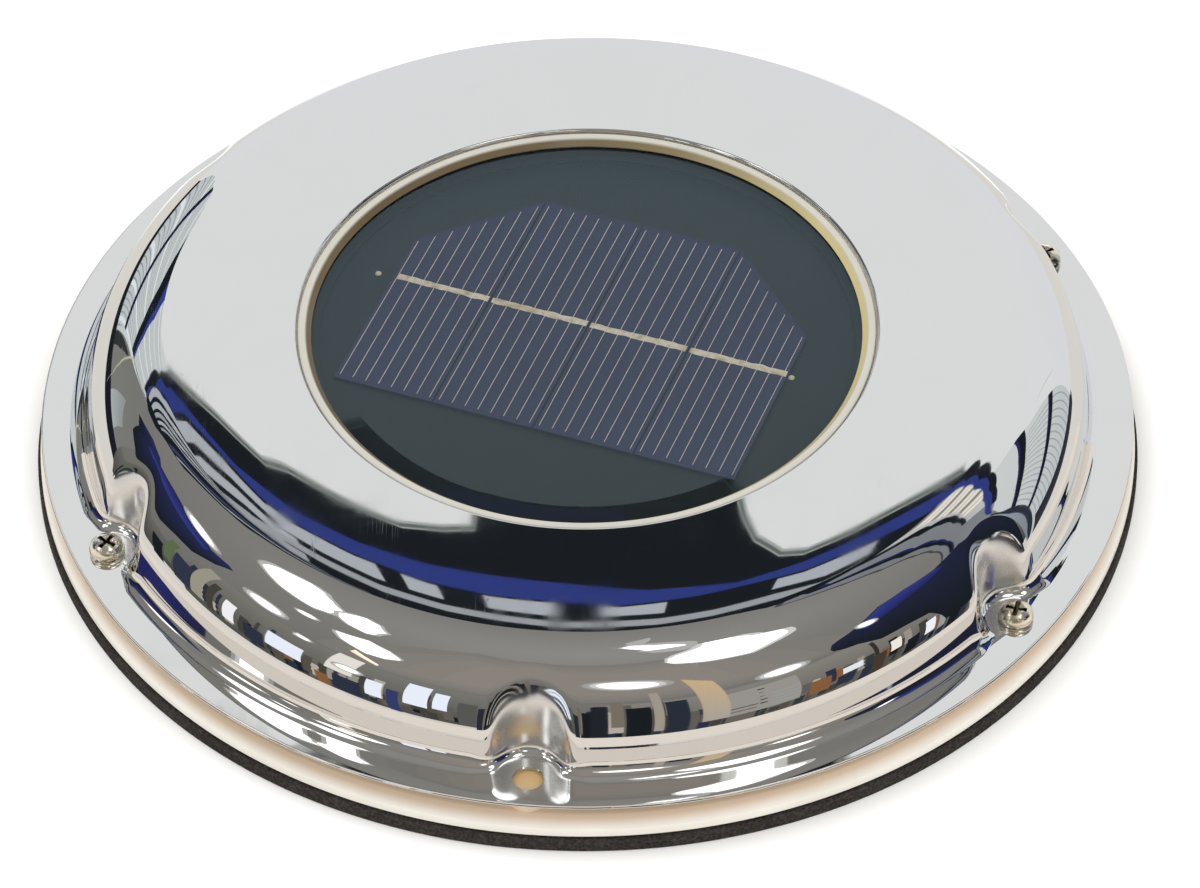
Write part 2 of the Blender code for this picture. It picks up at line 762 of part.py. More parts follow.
def blade_cutter(number, wall):
    """One blade: a grid along the radius, bent to its pitch and camber, then thickened."""
    along, across = 4, 3
    bm = bmesh.new()
    bmesh.ops.create_grid(bm, x_segments=along, y_segments=across, size=0.5)
    middle_z = (HUB_TOP + HUB_BOTTOM) / 2
    for vert in bm.verts:
        share = vert.co.x + 0.5
        chord = vert.co.y
        radius = HUB_R - wall / 2 + (IMPELLER_R - 0.0008 - HUB_R + wall / 2) * share
        pitch = math.radians(38 - 16 * share)
        length = 0.0125 + 0.0120 * share
        sweep = length * chord * math.cos(pitch)
        rise = length * chord * math.sin(pitch) + 0.0010 * (1 - 4 * chord * chord)
        vert.co = polar(radius, sweep / radius, middle_z + rise)
    blade = place(f"blade_{number + 1}", mesh_from(bm, "blade"))
    blade.rotation_euler.z = 2 * math.pi * number / BLADES
    skin = blade.modifiers.new("Thickness", "SOLIDIFY")
    skin.thickness = wall
    skin.offset = 0.0
    return blade


def make_battery():
    half_x, half_y = HOLDER_SIZE[0] / 2, HOLDER_SIZE[1] / 2
    low = (BATTERY_X - half_x, -half_y, HOLDER_BOTTOM)
    high = (BATTERY_X + half_x, half_y, MOUNT_TOP)
    holder = box("battery_holder", low, high, BLACK)
    cavity_x = BATTERY_R + GAP
    boolean(
        holder,
        box(
            "battery_cavity_cutter",
            (BATTERY_X - cavity_x, -half_y + HOLDER_WALL, 0.0),
            (BATTERY_X + cavity_x, half_y - HOLDER_WALL, MOUNT_TOP - HOLDER_WALL),
        ),
    )
    groove_x = half_x - 0.0007
    boolean(
        holder,
        box(
            "door_groove_cutter",
            (BATTERY_X - groove_x, -half_y + 0.0004, HOLDER_BOTTOM + 0.0003),
            (BATTERY_X + groove_x, half_y + 0.002, HOLDER_BOTTOM + 0.0003 + DOOR_THICK + 2 * GAP),
        ),
    )
    boolean(
        holder,
        box(
            "ridge_path_cutter",
            (BATTERY_X - RIDGE_HALF - GAP, half_y - 0.0020, 0.0),
            (BATTERY_X + RIDGE_HALF + GAP, half_y + 0.0020, HOLDER_BOTTOM + DOOR_THICK),
        ),
    )
    boolean(holder, lead_hole_cutter(half_y))
    make_battery_cell()
    make_battery_contacts(half_y)
    make_battery_door(groove_x, half_y)


def lead_hole_cutter(half_y):
    """A drilling along Y through both end walls, where the leads reach the contacts."""
    bm = bmesh.new()
    turn = Matrix.Rotation(math.pi / 2, 4, "X")
    bmesh.ops.create_cone(
        bm,
        cap_ends=True,
        segments=12,
        radius1=2 * LEAD_R,
        radius2=2 * LEAD_R,
        depth=2 * half_y + 0.004,
        matrix=Matrix.Translation((BATTERY_X, 0.0, LEAD_Z)) @ turn,
    )
    return place("lead_drill_cutter", mesh_from(bm, "lead_drill"))


def make_battery_cell():
    half = BATTERY_LENGTH / 2
    profile = [
        (0.0, half),
        (0.0026, half),
        (0.0026, half - 0.0012),
        (BATTERY_R - 0.0004, half - 0.0012),
        (BATTERY_R, half - 0.0018),
        (BATTERY_R, -half + 0.0004),
        (BATTERY_R - 0.0004, -half),
        (0.0, -half),
    ]
    battery = turned("battery", profile, BATTERY, 24)
    battery.rotation_euler.x = -math.pi / 2
    battery.location = (BATTERY_X, 0.0, BATTERY_Z)


def make_battery_contacts(half_y):
    wall_y = half_y - HOLDER_WALL
    box(
        "battery_contact",
        (BATTERY_X - 0.0045, wall_y - 0.0008, BATTERY_Z - 0.0040),
        (BATTERY_X + 0.0045, wall_y - 0.0003, BATTERY_Z + 0.0058),
        SPRING,
    )
    turns, per_turn, wire_r = 2.5, 9, 0.0003
    start = -wall_y + GAP + wire_r
    end = -BATTERY_LENGTH / 2 - GAP - wire_r
    points = []
    for i in range(int(turns * per_turn) + 1):
        share = i / (turns * per_turn)
        angle = 2 * math.pi * turns * share
        radius = 0.0045 - 0.0020 * share
        x = BATTERY_X + radius * math.cos(angle)
        z = BATTERY_Z + radius * math.sin(angle)
        points.append((x, start + (end - start) * share, z))
    spring = curve_object("battery_spring", [points], SPRING)
    spring.data.bevel_depth = wire_r
    spring.data.bevel_resolution = 1
    spring.data.use_fill_caps = True


def make_battery_door(groove_x, half_y):
    """A cover that slides along +Y in the holder's grooves, with a ridge for a fingertip."""
    slide = axis_empty("battery_door_axis", (BATTERY_X, 0.0, HOLDER_BOTTOM))
    bottom = GAP + 0.0003
    reach = groove_x - GAP
    door = box(
        "battery_door",
        (-reach, -half_y + 0.0008, bottom),
        (reach, half_y - 0.0002, bottom + DOOR_THICK),
        BLACK,
        parent=slide,
    )
    ridge = box(
        "door_ridge_cutter",
        (-RIDGE_HALF, half_y - 0.0040, -0.0006),
        (RIDGE_HALF, half_y - 0.0025, bottom + DOOR_THICK / 2),
        parent=slide,
    )
    boolean(door, ridge, "UNION")


def make_switch():
    body = box(
        "switch_body",
        (SWITCH_X - SWITCH_HALF[0], -SWITCH_HALF[1], SWITCH_BOTTOM),
        (SWITCH_X + SWITCH_HALF[0], SWITCH_HALF[1], MOUNT_TOP),
        BLACK,
    )
    slot_half = SWITCH_TRAVEL / 2 + SLIDER_HALF[1] + 0.0005
    slot_x = SLIDER_HALF[0] + GAP
    boolean(
        body,
        box(
            "switch_slot_cutter",
            (SWITCH_X - slot_x, -slot_half, SWITCH_BOTTOM - 0.001),
            (SWITCH_X + slot_x, slot_half, SLIDER_Z[1] + 0.0004),
        ),
    )
    travel = axis_empty("switch_axis", (SWITCH_X, -SWITCH_TRAVEL / 2, 0.0))
    box(
        "switch_slider",
        (-SLIDER_HALF[0], -SLIDER_HALF[1], SLIDER_Z[0]),
        (SLIDER_HALF[0], SLIDER_HALF[1], SLIDER_Z[1]),
        RED,
        parent=travel,
    )


def make_leads():
    diameter = 2 * LEAD_R
    wire("panel_lead_red", PANEL_LEAD_RED, diameter, RED)
    wire("panel_lead_black", PANEL_LEAD_BLACK, diameter, BLACK)
    wire("battery_lead_red", BATTERY_LEAD_RED, diameter, RED)
    wire("switch_lead_red", SWITCH_LEAD_RED, diameter, RED)
    half = (DIODE[1][0] - DIODE[0][0]) / 2
    profile = [
        (0.0, half),
        (0.0005, half),
        (0.0005, half - 0.0010),
        (0.0013, half - 0.0012),
        (0.0013, -half + 0.0012),
        (0.0005, -half + 0.0010),
        (0.0005, -half),
        (0.0, -half),
    ]
    diode = turned("blocking_diode", profile, BLACK, 16)
    diode.rotation_euler.y = math.pi / 2
    diode.location = (Vector(DIODE[0]) + Vector(DIODE[1])) / 2


def sector(middle, half_angle, inner, outer):
    first, last = math.degrees(middle - half_angle), math.degrees(middle + half_angle)
    return arc((0.0, 0.0), outer, first, last, 4) + arc((0.0, 0.0), inner, last, first, 2)


def vane_outlines(radius, hole_r):
    """A disc with a middle hole and one sector opening for each spoke gap."""
    outlines = [arc((0.0, 0.0), radius, 0, 352.5, 47), arc((0.0, 0.0), hole_r, 0, 330, 11)]
    for i in range(SPOKES):
        middle = 2 * math.pi * i / SPOKES
        outlines.append(sector(middle, OPENING_ANGLE / 2, OPENING_IN_R, OPENING_OUT_R))
    return outlines


def make_shutter():
    grille_bottom = GRILLE_TOP - GRILLE_THICK
    outlines = vane_outlines(GRILLE_R, SPINDLE_R + RUNNING)
    plate("shutter_grille", outlines, grille_bottom, GRILLE_TOP, WHITE)
    turn = axis_empty("shutter_axis", (0.0, 0.0, 0.0))
    disc_bottom = GRILLE_TOP + GAP
    disc_top = disc_bottom + SHUTTER_THICK
    plate(
        "shutter_disc",
        vane_outlines(SHUTTER_R, SPINDLE_R + GAP),
        disc_bottom,
        disc_top,
        WHITE,
        turn,
    )
    knob_top = grille_bottom - GAP
    spindle_top = disc_top + 0.0022
    knob = [
        (0.0, spindle_top),
        (SPINDLE_R, spindle_top),
        (SPINDLE_R, knob_top),
        (KNOB_R - 0.0008, knob_top),
        (KNOB_R, knob_top - 0.0010),
        (KNOB_R - 0.0010, knob_top - 0.0060),
        (KNOB_R - 0.0023, knob_top - 0.0070),
        (0.0, knob_top - 0.0074),
    ]
    turned("shutter_knob", knob, WHITE, 24, turn)
    washer_low = disc_top + GAP
    washer_high = spindle_top - 0.0004
    bore = SPINDLE_R + GAP
    washer = [
        (0.0050, washer_high),
        (0.0050, washer_low),
        (bore, washer_low),
        (bore, washer_high),
    ]
    turned("shutter_washer", washer, STEEL, 20, turn)


def make_trim_and_screen():
    trim = [
        (SLEEVE_OUT_R, SLEEVE_TOP),
        (SLEEVE_OUT_R, TRIM_TOP - 0.0004),
        (COLLAR_OUT_R + 0.0004, TRIM_TOP - 0.0004),
        (COLLAR_OUT_R + 0.0004, TRIM_TOP),
        (TRIM_R - 0.0015, TRIM_TOP),
        (TRIM_R, TRIM_TOP - 0.0010),
        (TRIM_R, TRIM_BOTTOM + 0.0008),
        (TRIM_R - 0.0020, TRIM_BOTTOM),
        (SLEEVE_IN_R, TRIM_BOTTOM),
        (SLEEVE_IN_R, SLEEVE_TOP),
    ]
    turned("trim_ring", trim, WHITE, 40)
    screen = [
        (0.0, SCREEN_Z),
        (SCREEN_RIM_R - 0.0005, SCREEN_Z),
        (SCREEN_RIM_R, SCREEN_Z + 0.0010),
        (SCREEN_R, SCREEN_Z + 0.0010),
        (SCREEN_R, SCREEN_Z - 0.0010),
        (SCREEN_RIM_R, SCREEN_Z - 0.0010),
        (SCREEN_RIM_R - 0.0005, SCREEN_Z - 0.0004),
        (0.0, SCREEN_Z - 0.0004),
    ]
    turned("insect_screen", screen, MESH_STEEL, 40)


def smooth_round_parts():
    """Bakes each part's modifiers and shades it smooth, with its sharp edges kept sharp."""
    bpy.context.view_layer.update()
    baked = {}
    for obj in PARTS.objects:
        if obj.type == "MESH" and obj.modifiers:
            baked[obj.name] = evaluated_mesh(obj)
    for name, mesh in baked.items():
        obj = bpy.data.objects[name]
        obj.modifiers.clear()
        obj.data = mesh
        mesh.name = name
        mesh.shade_smooth()
        mesh.set_sharp_from_angle(angle=math.radians(35))


clear_scene()
PARTS = new_collection("solar_attic_fan")
CUTTERS = new_collection("cutters")
STEEL = material("polished_steel", (0.80, 0.80, 0.79), 0.06, 1.0)
DARK_STEEL = material("motor_steel", (0.42, 0.43, 0.44), 0.35, 1.0)
MESH_STEEL = material("screen_steel", (0.50, 0.51, 0.52), 0.40, 1.0)
CREAM = material("cream_plastic", (0.86, 0.82, 0.70), 0.40)
WHITE = material("white_plastic", (0.88, 0.87, 0.83), 0.40)
BLACK = material("black_plastic", (0.03, 0.03, 0.03), 0.45)
RED = material("red_plastic", (0.55, 0.04, 0.03), 0.45)
FOAM = material("foam", (0.05, 0.045, 0.04), 0.90)
RUBBER = material("rubber", (0.03, 0.03, 0.03), 0.70)
BOARD = material("panel_board", (0.055, 0.075, 0.085), 0.50)
CELL = material("silicon", (0.035, 0.050, 0.095), 0.35)
SOLDER = material("solder", (0.78, 0.76, 0.66), 0.35, 1.0)
LENS = material("lens_glass", (0.80, 0.85, 0.86), 0.03, 0.0, 0.35)
BRASS = material("bronze", (0.62, 0.43, 0.22), 0.35, 1.0)
MAGNET = material("ferrite", (0.07, 0.07, 0.08), 0.60)
BATTERY = material("battery_sleeve", (0.10, 0.30, 0.16), 0.40)
SPRING = material("plated_spring", (0.72, 0.71, 0.68), 0.25, 1.0)

make_dome_cover()
make_cover_screws()
make_base()
make_gasket()
make_deck_screws()
make_panel_tray()
make_panel()
make_motor_case()
make_motor_mount()
make_rotor()
make_battery()
make_switch()
make_leads()
make_shutter()
make_trim_and_screen()
smooth_round_parts()
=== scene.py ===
"""The looks of the low-profile solar roof vent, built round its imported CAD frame.

Every length in a profile is in millimetres; the mesh builders turn them into metres.
"""

import math

import bpy
import numpy as np
from mathutils import Matrix, Vector


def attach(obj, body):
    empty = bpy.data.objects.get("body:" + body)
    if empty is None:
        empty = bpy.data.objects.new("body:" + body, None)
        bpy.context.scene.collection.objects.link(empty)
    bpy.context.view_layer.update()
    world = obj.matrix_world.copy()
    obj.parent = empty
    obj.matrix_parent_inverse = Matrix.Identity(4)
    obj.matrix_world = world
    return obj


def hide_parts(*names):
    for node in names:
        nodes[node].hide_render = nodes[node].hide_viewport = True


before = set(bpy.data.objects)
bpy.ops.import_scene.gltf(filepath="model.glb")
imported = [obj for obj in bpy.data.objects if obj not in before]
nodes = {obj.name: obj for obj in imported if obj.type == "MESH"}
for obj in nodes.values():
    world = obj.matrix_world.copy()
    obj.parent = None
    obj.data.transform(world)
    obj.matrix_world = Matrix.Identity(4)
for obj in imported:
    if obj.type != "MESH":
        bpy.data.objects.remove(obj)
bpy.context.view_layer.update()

MM = 0.001
ROUND_STEPS = 288
SHARP = 38

# Dome
WINDOW_R = 56.6
SHEET = 0.8
SHOULDER_R, SHOULDER_Z, SHOULDER_BEND = 82.0, 16.0, 16.0
SHOULDER_TILT = math.radians(3.0)
CROWN_R = SHOULDER_R + SHOULDER_BEND * math.sin(SHOULDER_TILT)
LIP_TILT = math.radians(0.6)
LIP_BEND = 0.5
FLANGE_TOP, FLANGE_R = 10.9, 107.5
WALL_DRAFT = math.radians(8.0)
FOOT_BEND = 3.0
FOOT_R = SHOULDER_R + SHOULDER_BEND + FOOT_BEND + 0.5
EDGE_BEND = 0.4
CROWN_ROWS, SHOULDER_ROWS, FOOT_ROWS, FLANGE_ROWS = 14, 60, 26, 22

# Screw recesses
SCREW_R = 100.8
SCREW_AZIMUTHS = [math.radians(23.4 + 60 * i) for i in range(6)]
SCREW_PLACES = [(SCREW_R * math.cos(a), SCREW_R * math.sin(a)) for a in SCREW_AZIMUTHS]
EMPTY_RECESS = 4
RECESS_R, RECESS_RISE, RECESS_EASE, RECESS_BEND = 7.0, 29.0, 4.2, 2.0
HOLE_R = 2.9
RECESS_SPREAD = (RECESS_R, RECESS_R + 5.0)
PAD_RAISE = 0.012
PAD_EDGE, PAD_FADE = (4.5, 9.5), (FLANGE_R - 2.9, FLANGE_R - 0.3)
LOW_ZONE = FLANGE_TOP + 1.0

# Solar cell, in the cell's own turned axes
CELL_ANGLE = math.radians(-21.0)
CELL_CENTRE_U = -0.8
CELL_HALF = 41.3
STRIP = CELL_HALF / 2
CELL_BACK_V, CELL_CHAMFER_V, CELL_FRONT_V = 34.1, 14.5, -27.6
RIBBON_V = 3.3
FACE_Z = 28.93

# The arc's edge against the pale card, as (azimuth, elevation) in degrees
CARD_TOP = [(-11.2, 43.3), (-10.6, 43.9), (-9.5, 44.8), (-8.2, 46.0), (-7.4, 46.1), (-5.7, 46.8)]
CARD_TOP += [(-4.4, 47.3), (-3.2, 47.1), (-2.4, 46.8), (-2.0, 45.8), (-1.6, 45.0), (2.5, 45.0)]
CARD_TOP += [(2.8, 45.8), (3.3, 46.7), (4.1, 47.9), (5.2, 48.8), (6.0, 48.9), (7.2, 48.4)]
CARD_TOP += [(9.5, 47.3), (10.8, 46.6), (24.9, 48.7), (43.2, 47.0)]


# ------------ meshes


def finish_piece(obj, material, replaced=()):
    obj.data.materials.clear()
    obj.data.materials.append(material)
    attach(obj, "housing")
    if replaced:
        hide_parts(*replaced)
    return obj


def add_object(name, data):
    obj = bpy.data.objects.new(name, data)
    bpy.context.scene.collection.objects.link(obj)
    return obj


def object_from(name, vertices, faces, normals=None, corner_normals=None):
    """A mesh object from points in millimetres, with its own normals by point or by face corner."""
    mesh = bpy.data.meshes.new(name)
    faces = faces.tolist() if isinstance(faces, np.ndarray) else faces
    mesh.from_pydata((np.asarray(vertices, float) * MM).tolist(), [], faces)
    mesh.shade_smooth()
    if corner_normals is not None:
        mesh.normals_split_custom_set(np.asarray(corner_normals, float).reshape(-1, 3).tolist())
    elif normals is not None:
        mesh.normals_split_custom_set_from_vertices(np.asarray(normals, float).tolist())
    else:
        mesh.set_sharp_from_angle(angle=math.radians(SHARP))
    return add_object(name, mesh)


def round_corners(profile, steps=5):
    """A closed profile as (place, normal before, normal after); a point's third number rounds it."""
    count = len(profile)
    points = [Vector(point[:2]) for point in profile]
    ways = [(points[(i + 1) % count] - points[i]).normalized() for i in range(count)]
    result = []
    for i, point in enumerate(profile):
        here, came, goes = points[i], ways[i - 1], ways[i]
        before, after = Vector((-came.y, came.x)), Vector((-goes.y, goes.x))
        turn = came.angle_signed(goes) if came.length and goes.length else 0.0
        if len(point) > 2 and point[2] and abs(turn) > 0.01:
            reach = point[2] * math.tan(abs(turn) / 2)
            side = 1 if turn < 0 else -1
            start = here - came * reach
            centre = start + before * point[2] * side
            for j in range(steps + 1):
                spin = Matrix.Rotation(-turn * j / steps, 2)
                normal = spin @ before
                spot = centre - normal * point[2] * side
                result.append((spot, normal, normal))
        elif abs(turn) < math.radians(SHARP):
            normal = (before + after).normalized()
            result.append((here, normal, normal))
        else:
            result.append((here, before, after))
    return result


def turned(name, profile, steps=ROUND_STEPS, x=0.0, y=0.0):
    """A solid turned about an upright axis from (radius, height) points that run down its outer side."""
    rounded = round_corners(profile)
    angles = np.arange(steps) * 2 * math.pi / steps
    c, s = np.cos(angles), np.sin(angles)
    columns = [np.array([entry[k] for entry in rounded]) for k in range(3)]
    place, before, after = (spread(part[:, 0], part[:, 1], c, s) for part in columns)
    solid = profile[0][0] == 0.0
    faces = grid_faces(len(rounded), steps, not solid)
    upper = [after.reshape(-1, 3)[faces[:, k]] for k in (0, 3)]
    lower = [before.reshape(-1, 3)[faces[:, k]] for k in (1, 2)]
    corner_normals = np.stack([upper[0], lower[0], lower[1], upper[1]], 1)
    place = place + np.array([x, y, 0.0])
    return object_from(name, place.reshape(-1, 3), faces, corner_normals=corner_normals)


def turned_piece(name, profile, material, replaced=(), steps=ROUND_STEPS, x=0.0, y=0.0):
    return finish_piece(turned(name, profile, steps, x, y), material, replaced)


def spread(radial, upright, c, s):
    """Profile values turned round the axis: one row for each value and one column for each azimuth."""
    flat = np.broadcast_to(upright[:, None], (len(upright), len(c)))
    return np.stack([radial[:, None] * c, radial[:, None] * s, flat], -1)


def grid_faces(rows, columns, close_rows):
    """Quads of a grid of points whose columns run round and close."""
    row = np.arange(rows if close_rows else rows - 1)[:, None]
    column = np.arange(columns)[None, :]
    below, beside = (row + 1) % rows, (column + 1) % columns
    corners = [row * columns + column, below * columns + column]
    corners += [below * columns + beside, row * columns + beside]
    return np.stack(corners, -1).reshape(-1, 4)


def smooth_step(low, high, value):
    share = np.clip((value - low) / (high - low), 0.0, 1.0)
    return share * share * (3 - 2 * share)


# ------------ materials


class Graph:
    """Short ways to build the nodes of a material or of the world."""

    def __init__(self, owner):
        owner.use_nodes = True
        self.owner, self.tree = owner, owner.node_tree
        self.tree.nodes.clear()

    def node(self, kind, settings=None, **inputs):
        made = self.tree.nodes.new(kind)
        for key, value in (settings or {}).items():
            setattr(made, key, value)
        for key, value in inputs.items():
            self.put(made.inputs[key.replace("_", " ")], value)
        return made

    def put(self, socket, value):
        if isinstance(value, bpy.types.NodeSocket):
            self.tree.links.new(value, socket)
        elif value is not None:
            socket.default_value = value

    def maths(self, operation, *values, clamp=False):
        made = self.node("ShaderNodeMath", {"operation": operation, "use_clamp": clamp})
        for socket, value in zip(made.inputs, values):
            self.put(socket, value)
        return made.outputs[0]

    def times(self, *values):
        return self.maths("MULTIPLY", *values)

    def mix(self, factor, first, second, blend="MIX"):
        """Two colours mixed; the node's colour sockets are inputs 6 and 7 and output 2."""
        made = self.node("ShaderNodeMix", {"data_type": "RGBA", "blend_type": blend})
        for index, given in ((0, factor), (6, first), (7, second)):
            self.put(made.inputs[index], given)
        return made.outputs[2]

    def blend(self, factor, first, second):
        """Two shaders mixed."""
        made = self.node("ShaderNodeMixShader", Fac=factor)
        self.put(made.inputs[1], first)
        self.put(made.inputs[2], second)
        return made.outputs[0]

    def ramp(self, factor, stops):
        made = self.node("ShaderNodeValToRGB", Fac=factor)
        elements = made.color_ramp.elements
        while len(elements) < len(stops):
            elements.new(0.5)
        for element, (position, colour) in zip(elements, stops):
            element.position = position
            element.color = colour
        return made.outputs[0]

    def span(self, value, from_low, from_high, to_low=0.0, to_high=1.0, way="LINEAR"):
        """The value carried from one range to another, and held at its ends."""
        made = self.node("ShaderNodeMapRange", {"interpolation_type": way})
        for socket, given in zip(made.inputs, [value, from_low, from_high, to_low, to_high]):
            self.put(socket, given)
        return made.outputs[0]

    def place(self, scale=(1, 1, 1)):
        """Object coordinates, stretched by the scale."""
        position = self.node("ShaderNodeTexCoord").outputs["Object"]
        return self.node("ShaderNodeMapping", Vector=position, Scale=scale).outputs[0]

    def noise(self, where, scale, detail=4.0, roughness=0.5, distortion=0.0):
        numbers = {"Scale": scale, "Detail": detail, "Roughness": roughness, "Distortion": distortion}
        return self.node("ShaderNodeTexNoise", Vector=where, **numbers).outputs["Fac"]

    def apart(self, where):
        return self.node("ShaderNodeSeparateXYZ", Vector=where).outputs[:]

    def length(self, across, along):
        """The length of a flat vector given by its two parts."""
        flat = self.node("ShaderNodeCombineXYZ", X=across, Y=along).outputs[0]
        made = self.node("ShaderNodeVectorMath", {"operation": "LENGTH"}, Vector=flat)
        return made.outputs["Value"]

    def from_screw(self, where):
        """Distance in metres from the axis of the nearest screw in the cover, and the height."""
        x, y, z = self.apart(where)
        azimuth = self.maths("SUBTRACT", self.maths("ARCTAN2", y, x), SCREW_AZIMUTHS[0])
        azimuth = self.maths("WRAP", azimuth, math.pi / 6, -math.pi / 6)
        radius = self.length(x, y)
        out = self.maths("SUBTRACT", self.times(radius, self.maths("COSINE", azimuth)), SCREW_R * MM)
        return self.length(out, self.times(radius, self.maths("SINE", azimuth))), z

    def bump(self, height, strength, distance):
        return self.node("ShaderNodeBump", Height=height, Strength=strength, Distance=distance).outputs[0]

    def finish(self, shader):
        self.node("ShaderNodeOutputMaterial", Surface=shader)
        return self.owner

    def spark(self, where, base, roughness, bump=0.12):
        """Finishes a moulded plastic: fine spark grain and handling marks."""
        marks = self.noise(where, 240.0, 4.0, 0.6)
        rough = self.span(marks, 0.3, 0.7, roughness - 0.06, roughness + 0.08)
        grain = self.noise(where, 1500.0, 3.0, 0.6)
        return self.solid(base, rough, Normal=self.bump(grain, bump, 0.00008))

    def solid(self, base, roughness, metallic=0.0, **inputs):
        """Finishes the material as a Principled surface."""
        numbers = {"Base_Color": base, "Roughness": roughness, "Metallic": metallic}
        return self.finish(self.node("ShaderNodeBsdfPrincipled", **numbers, **inputs).outputs[0])


def new_material(name, stretch=(1, 1, 1)):
    """A material's graph and its object coordinates."""
    g = Graph(bpy.data.materials.new(name))
    return g, g.place(stretch)


def srgb(red, green, blue):
    """A colour given as 0 to 255 display values, as linear light."""
    values = []
    for value in (red, green, blue):
        share = value / 255
        values.append(share / 12.92 if share <= 0.04045 else ((share + 0.055) / 1.055) ** 2.4)
    return (*values, 1.0)


def polished_steel():
    """Mirror-polished sheet with haze, smears and hairline scratches, and satin scoops at the screws."""
    g, where = new_material("polished_steel")
    smear = g.noise(where, 38.0, 5.0, 0.6, 1.2)
    haze = g.span(smear, 0.45, 0.75, 0.012, 0.05)
    drawn_out = g.node("ShaderNodeMapping", Vector=where, Scale=(900, 40, 60)).outputs[0]
    feature = {"feature": "DISTANCE_TO_EDGE"}
    scratches = g.node("ShaderNodeTexVoronoi", feature, Vector=drawn_out, Scale=1.0)
    hairline = g.span(scratches.outputs["Distance"], 0.0, 0.012, 1.0, 0.0)
    patch = g.span(g.noise(where, 60.0, 2.0), 0.6, 0.7)
    rough = g.maths("ADD", haze, g.times(g.times(hairline, patch), 0.12))
    away, height = g.from_screw(where)
    scoop_edge, above_flange = (0.0074, 0.0088), (0.0113, 0.0125)
    pressed = g.span(away, *scoop_edge, 1.0, 0.0, "SMOOTHSTEP")
    pressed = g.times(pressed, g.span(height, *above_flange, way="SMOOTHSTEP"))
    satin = g.span(g.noise(where, 150.0, 3.0, 0.5), 0.3, 0.7, 0.19, 0.27)
    rough = g.maths("ADD", rough, g.times(pressed, satin))
    tint = g.mix(smear, (0.86, 0.86, 0.857, 1.0), (0.83, 0.83, 0.825, 1.0))
    ripple = g.noise(where, 16.0, 2.0, 0.4)
    return g.solid(tint, rough, 1.0, Normal=g.bump(ripple, 0.10, 0.0002))


def screw_steel():
    """Satin stainless: turning marks, tarnished patches, and painted shade in the cross recess."""
    g, where = new_material("screw_steel")
    grain = g.noise(where, 2600.0, 4.0, 0.6)
    patch = g.noise(where, 190.0, 3.0, 0.5)
    tint = g.ramp(patch, [(0.35, (0.84, 0.77, 0.60, 1)), (0.65, (0.95, 0.92, 0.85, 1))])
    away, height = g.from_screw(where)
    cross_edge, cross_floor = (0.0021, 0.0023), (0.01335, 0.0136)
    # Painted shade: inside the cross, below the head's top, the colour turns dark brown.
    painted_recess_shade = g.times(g.span(away, *cross_edge, 1.0, 0.0), g.span(height, *cross_floor, 1.0, 0.0))
    tint = g.mix(painted_recess_shade, tint, (0.20, 0.165, 0.12, 1))
    rough = g.span(grain, 0.3, 0.7, 0.14, 0.24)
    return g.solid(tint, rough, 1.0, Normal=g.bump(grain, 0.04, 0.00003))


def steel(name, light, dark, low, high, scale=900.0, stretch=(1, 1, 1)):
    """Plated or drawn steel with fine marks along one way and faint stains."""
    g, where = new_material(name, stretch)
    grain = g.noise(where, scale, 5.0, 0.65)
    stain = g.noise(g.place(), 160.0, 4.0, 0.6, 0.6)
    tint = g.mix(g.span(stain, 0.35, 0.65), dark, light)
    rough = g.span(grain, 0.3, 0.7, low, high)
    return g.solid(tint, rough, 1.0, Normal=g.bump(grain, 0.2, 0.00006))


def moulded(name, light, dark, roughness, bump=0.12):
    """Injection-moulded plastic with faint flow marks."""
    g, where = new_material(name)
    flow = g.noise(where, 35.0, 4.0, 0.55, 0.8)
    return g.spark(where, g.mix(g.span(flow, 0.3, 0.7), dark, light), roughness, bump)


def bezel_plastic():
    """Pale glossy rim over a yellow-brown throat with painted shade, darker and browner on its left."""
    g, where = new_material("ivory_plastic")
    x, y, _ = g.apart(where)
    # Painted shade on the throat: a ramp across the window, darkest and brownest on the left.
    side = g.span(g.maths("SUBTRACT", x, g.times(y, 0.6)), -0.055, 0.045)
    stops = [(0.15, srgb(98, 84, 60)), (0.5, srgb(132, 120, 88)), (0.85, srgb(192, 180, 132))]
    shaded_throat = g.ramp(side, stops)
    fine = g.noise(where, 1500.0, 3.0, 0.6)
    rim = g.mix(g.noise(where, 60.0, 4.0), srgb(194, 192, 184), srgb(178, 176, 168))
    throat_edge = (0.0545, 0.0549)
    tint = g.mix(g.span(g.length(x, y), *throat_edge), shaded_throat, rim)
    return g.solid(tint, 0.22, Normal=g.bump(fine, 0.1, 0.00005))


def base_plastic():
    """Cream plastic with painted shade and warm painted reflection where it runs in under the cover, and
    plain cream at its edge.
    """
    g, where = new_material("cream_plastic")
    x, y, _ = g.apart(where)
    reach = g.length(x, y)
    flow = g.noise(where, 35.0, 4.0, 0.55, 0.8)
    edge = g.mix(g.span(flow, 0.3, 0.7), srgb(222, 217, 207), srgb(230, 226, 218))
    # Painted shade and warm painted reflection: the slope under the flange darkens to peach and tan
    # inwards.
    stops = [(0.0, srgb(200, 168, 118)), (0.4, srgb(198, 172, 140)), (0.78, srgb(210, 188, 164))]
    painted_shade_under_cover, at_edge = (0.100, 0.1077), (0.1062, 0.1076)
    tint = g.ramp(g.span(reach, *painted_shade_under_cover), stops)
    return g.spark(where, g.mix(g.span(reach, *at_edge), tint, edge), 0.34)


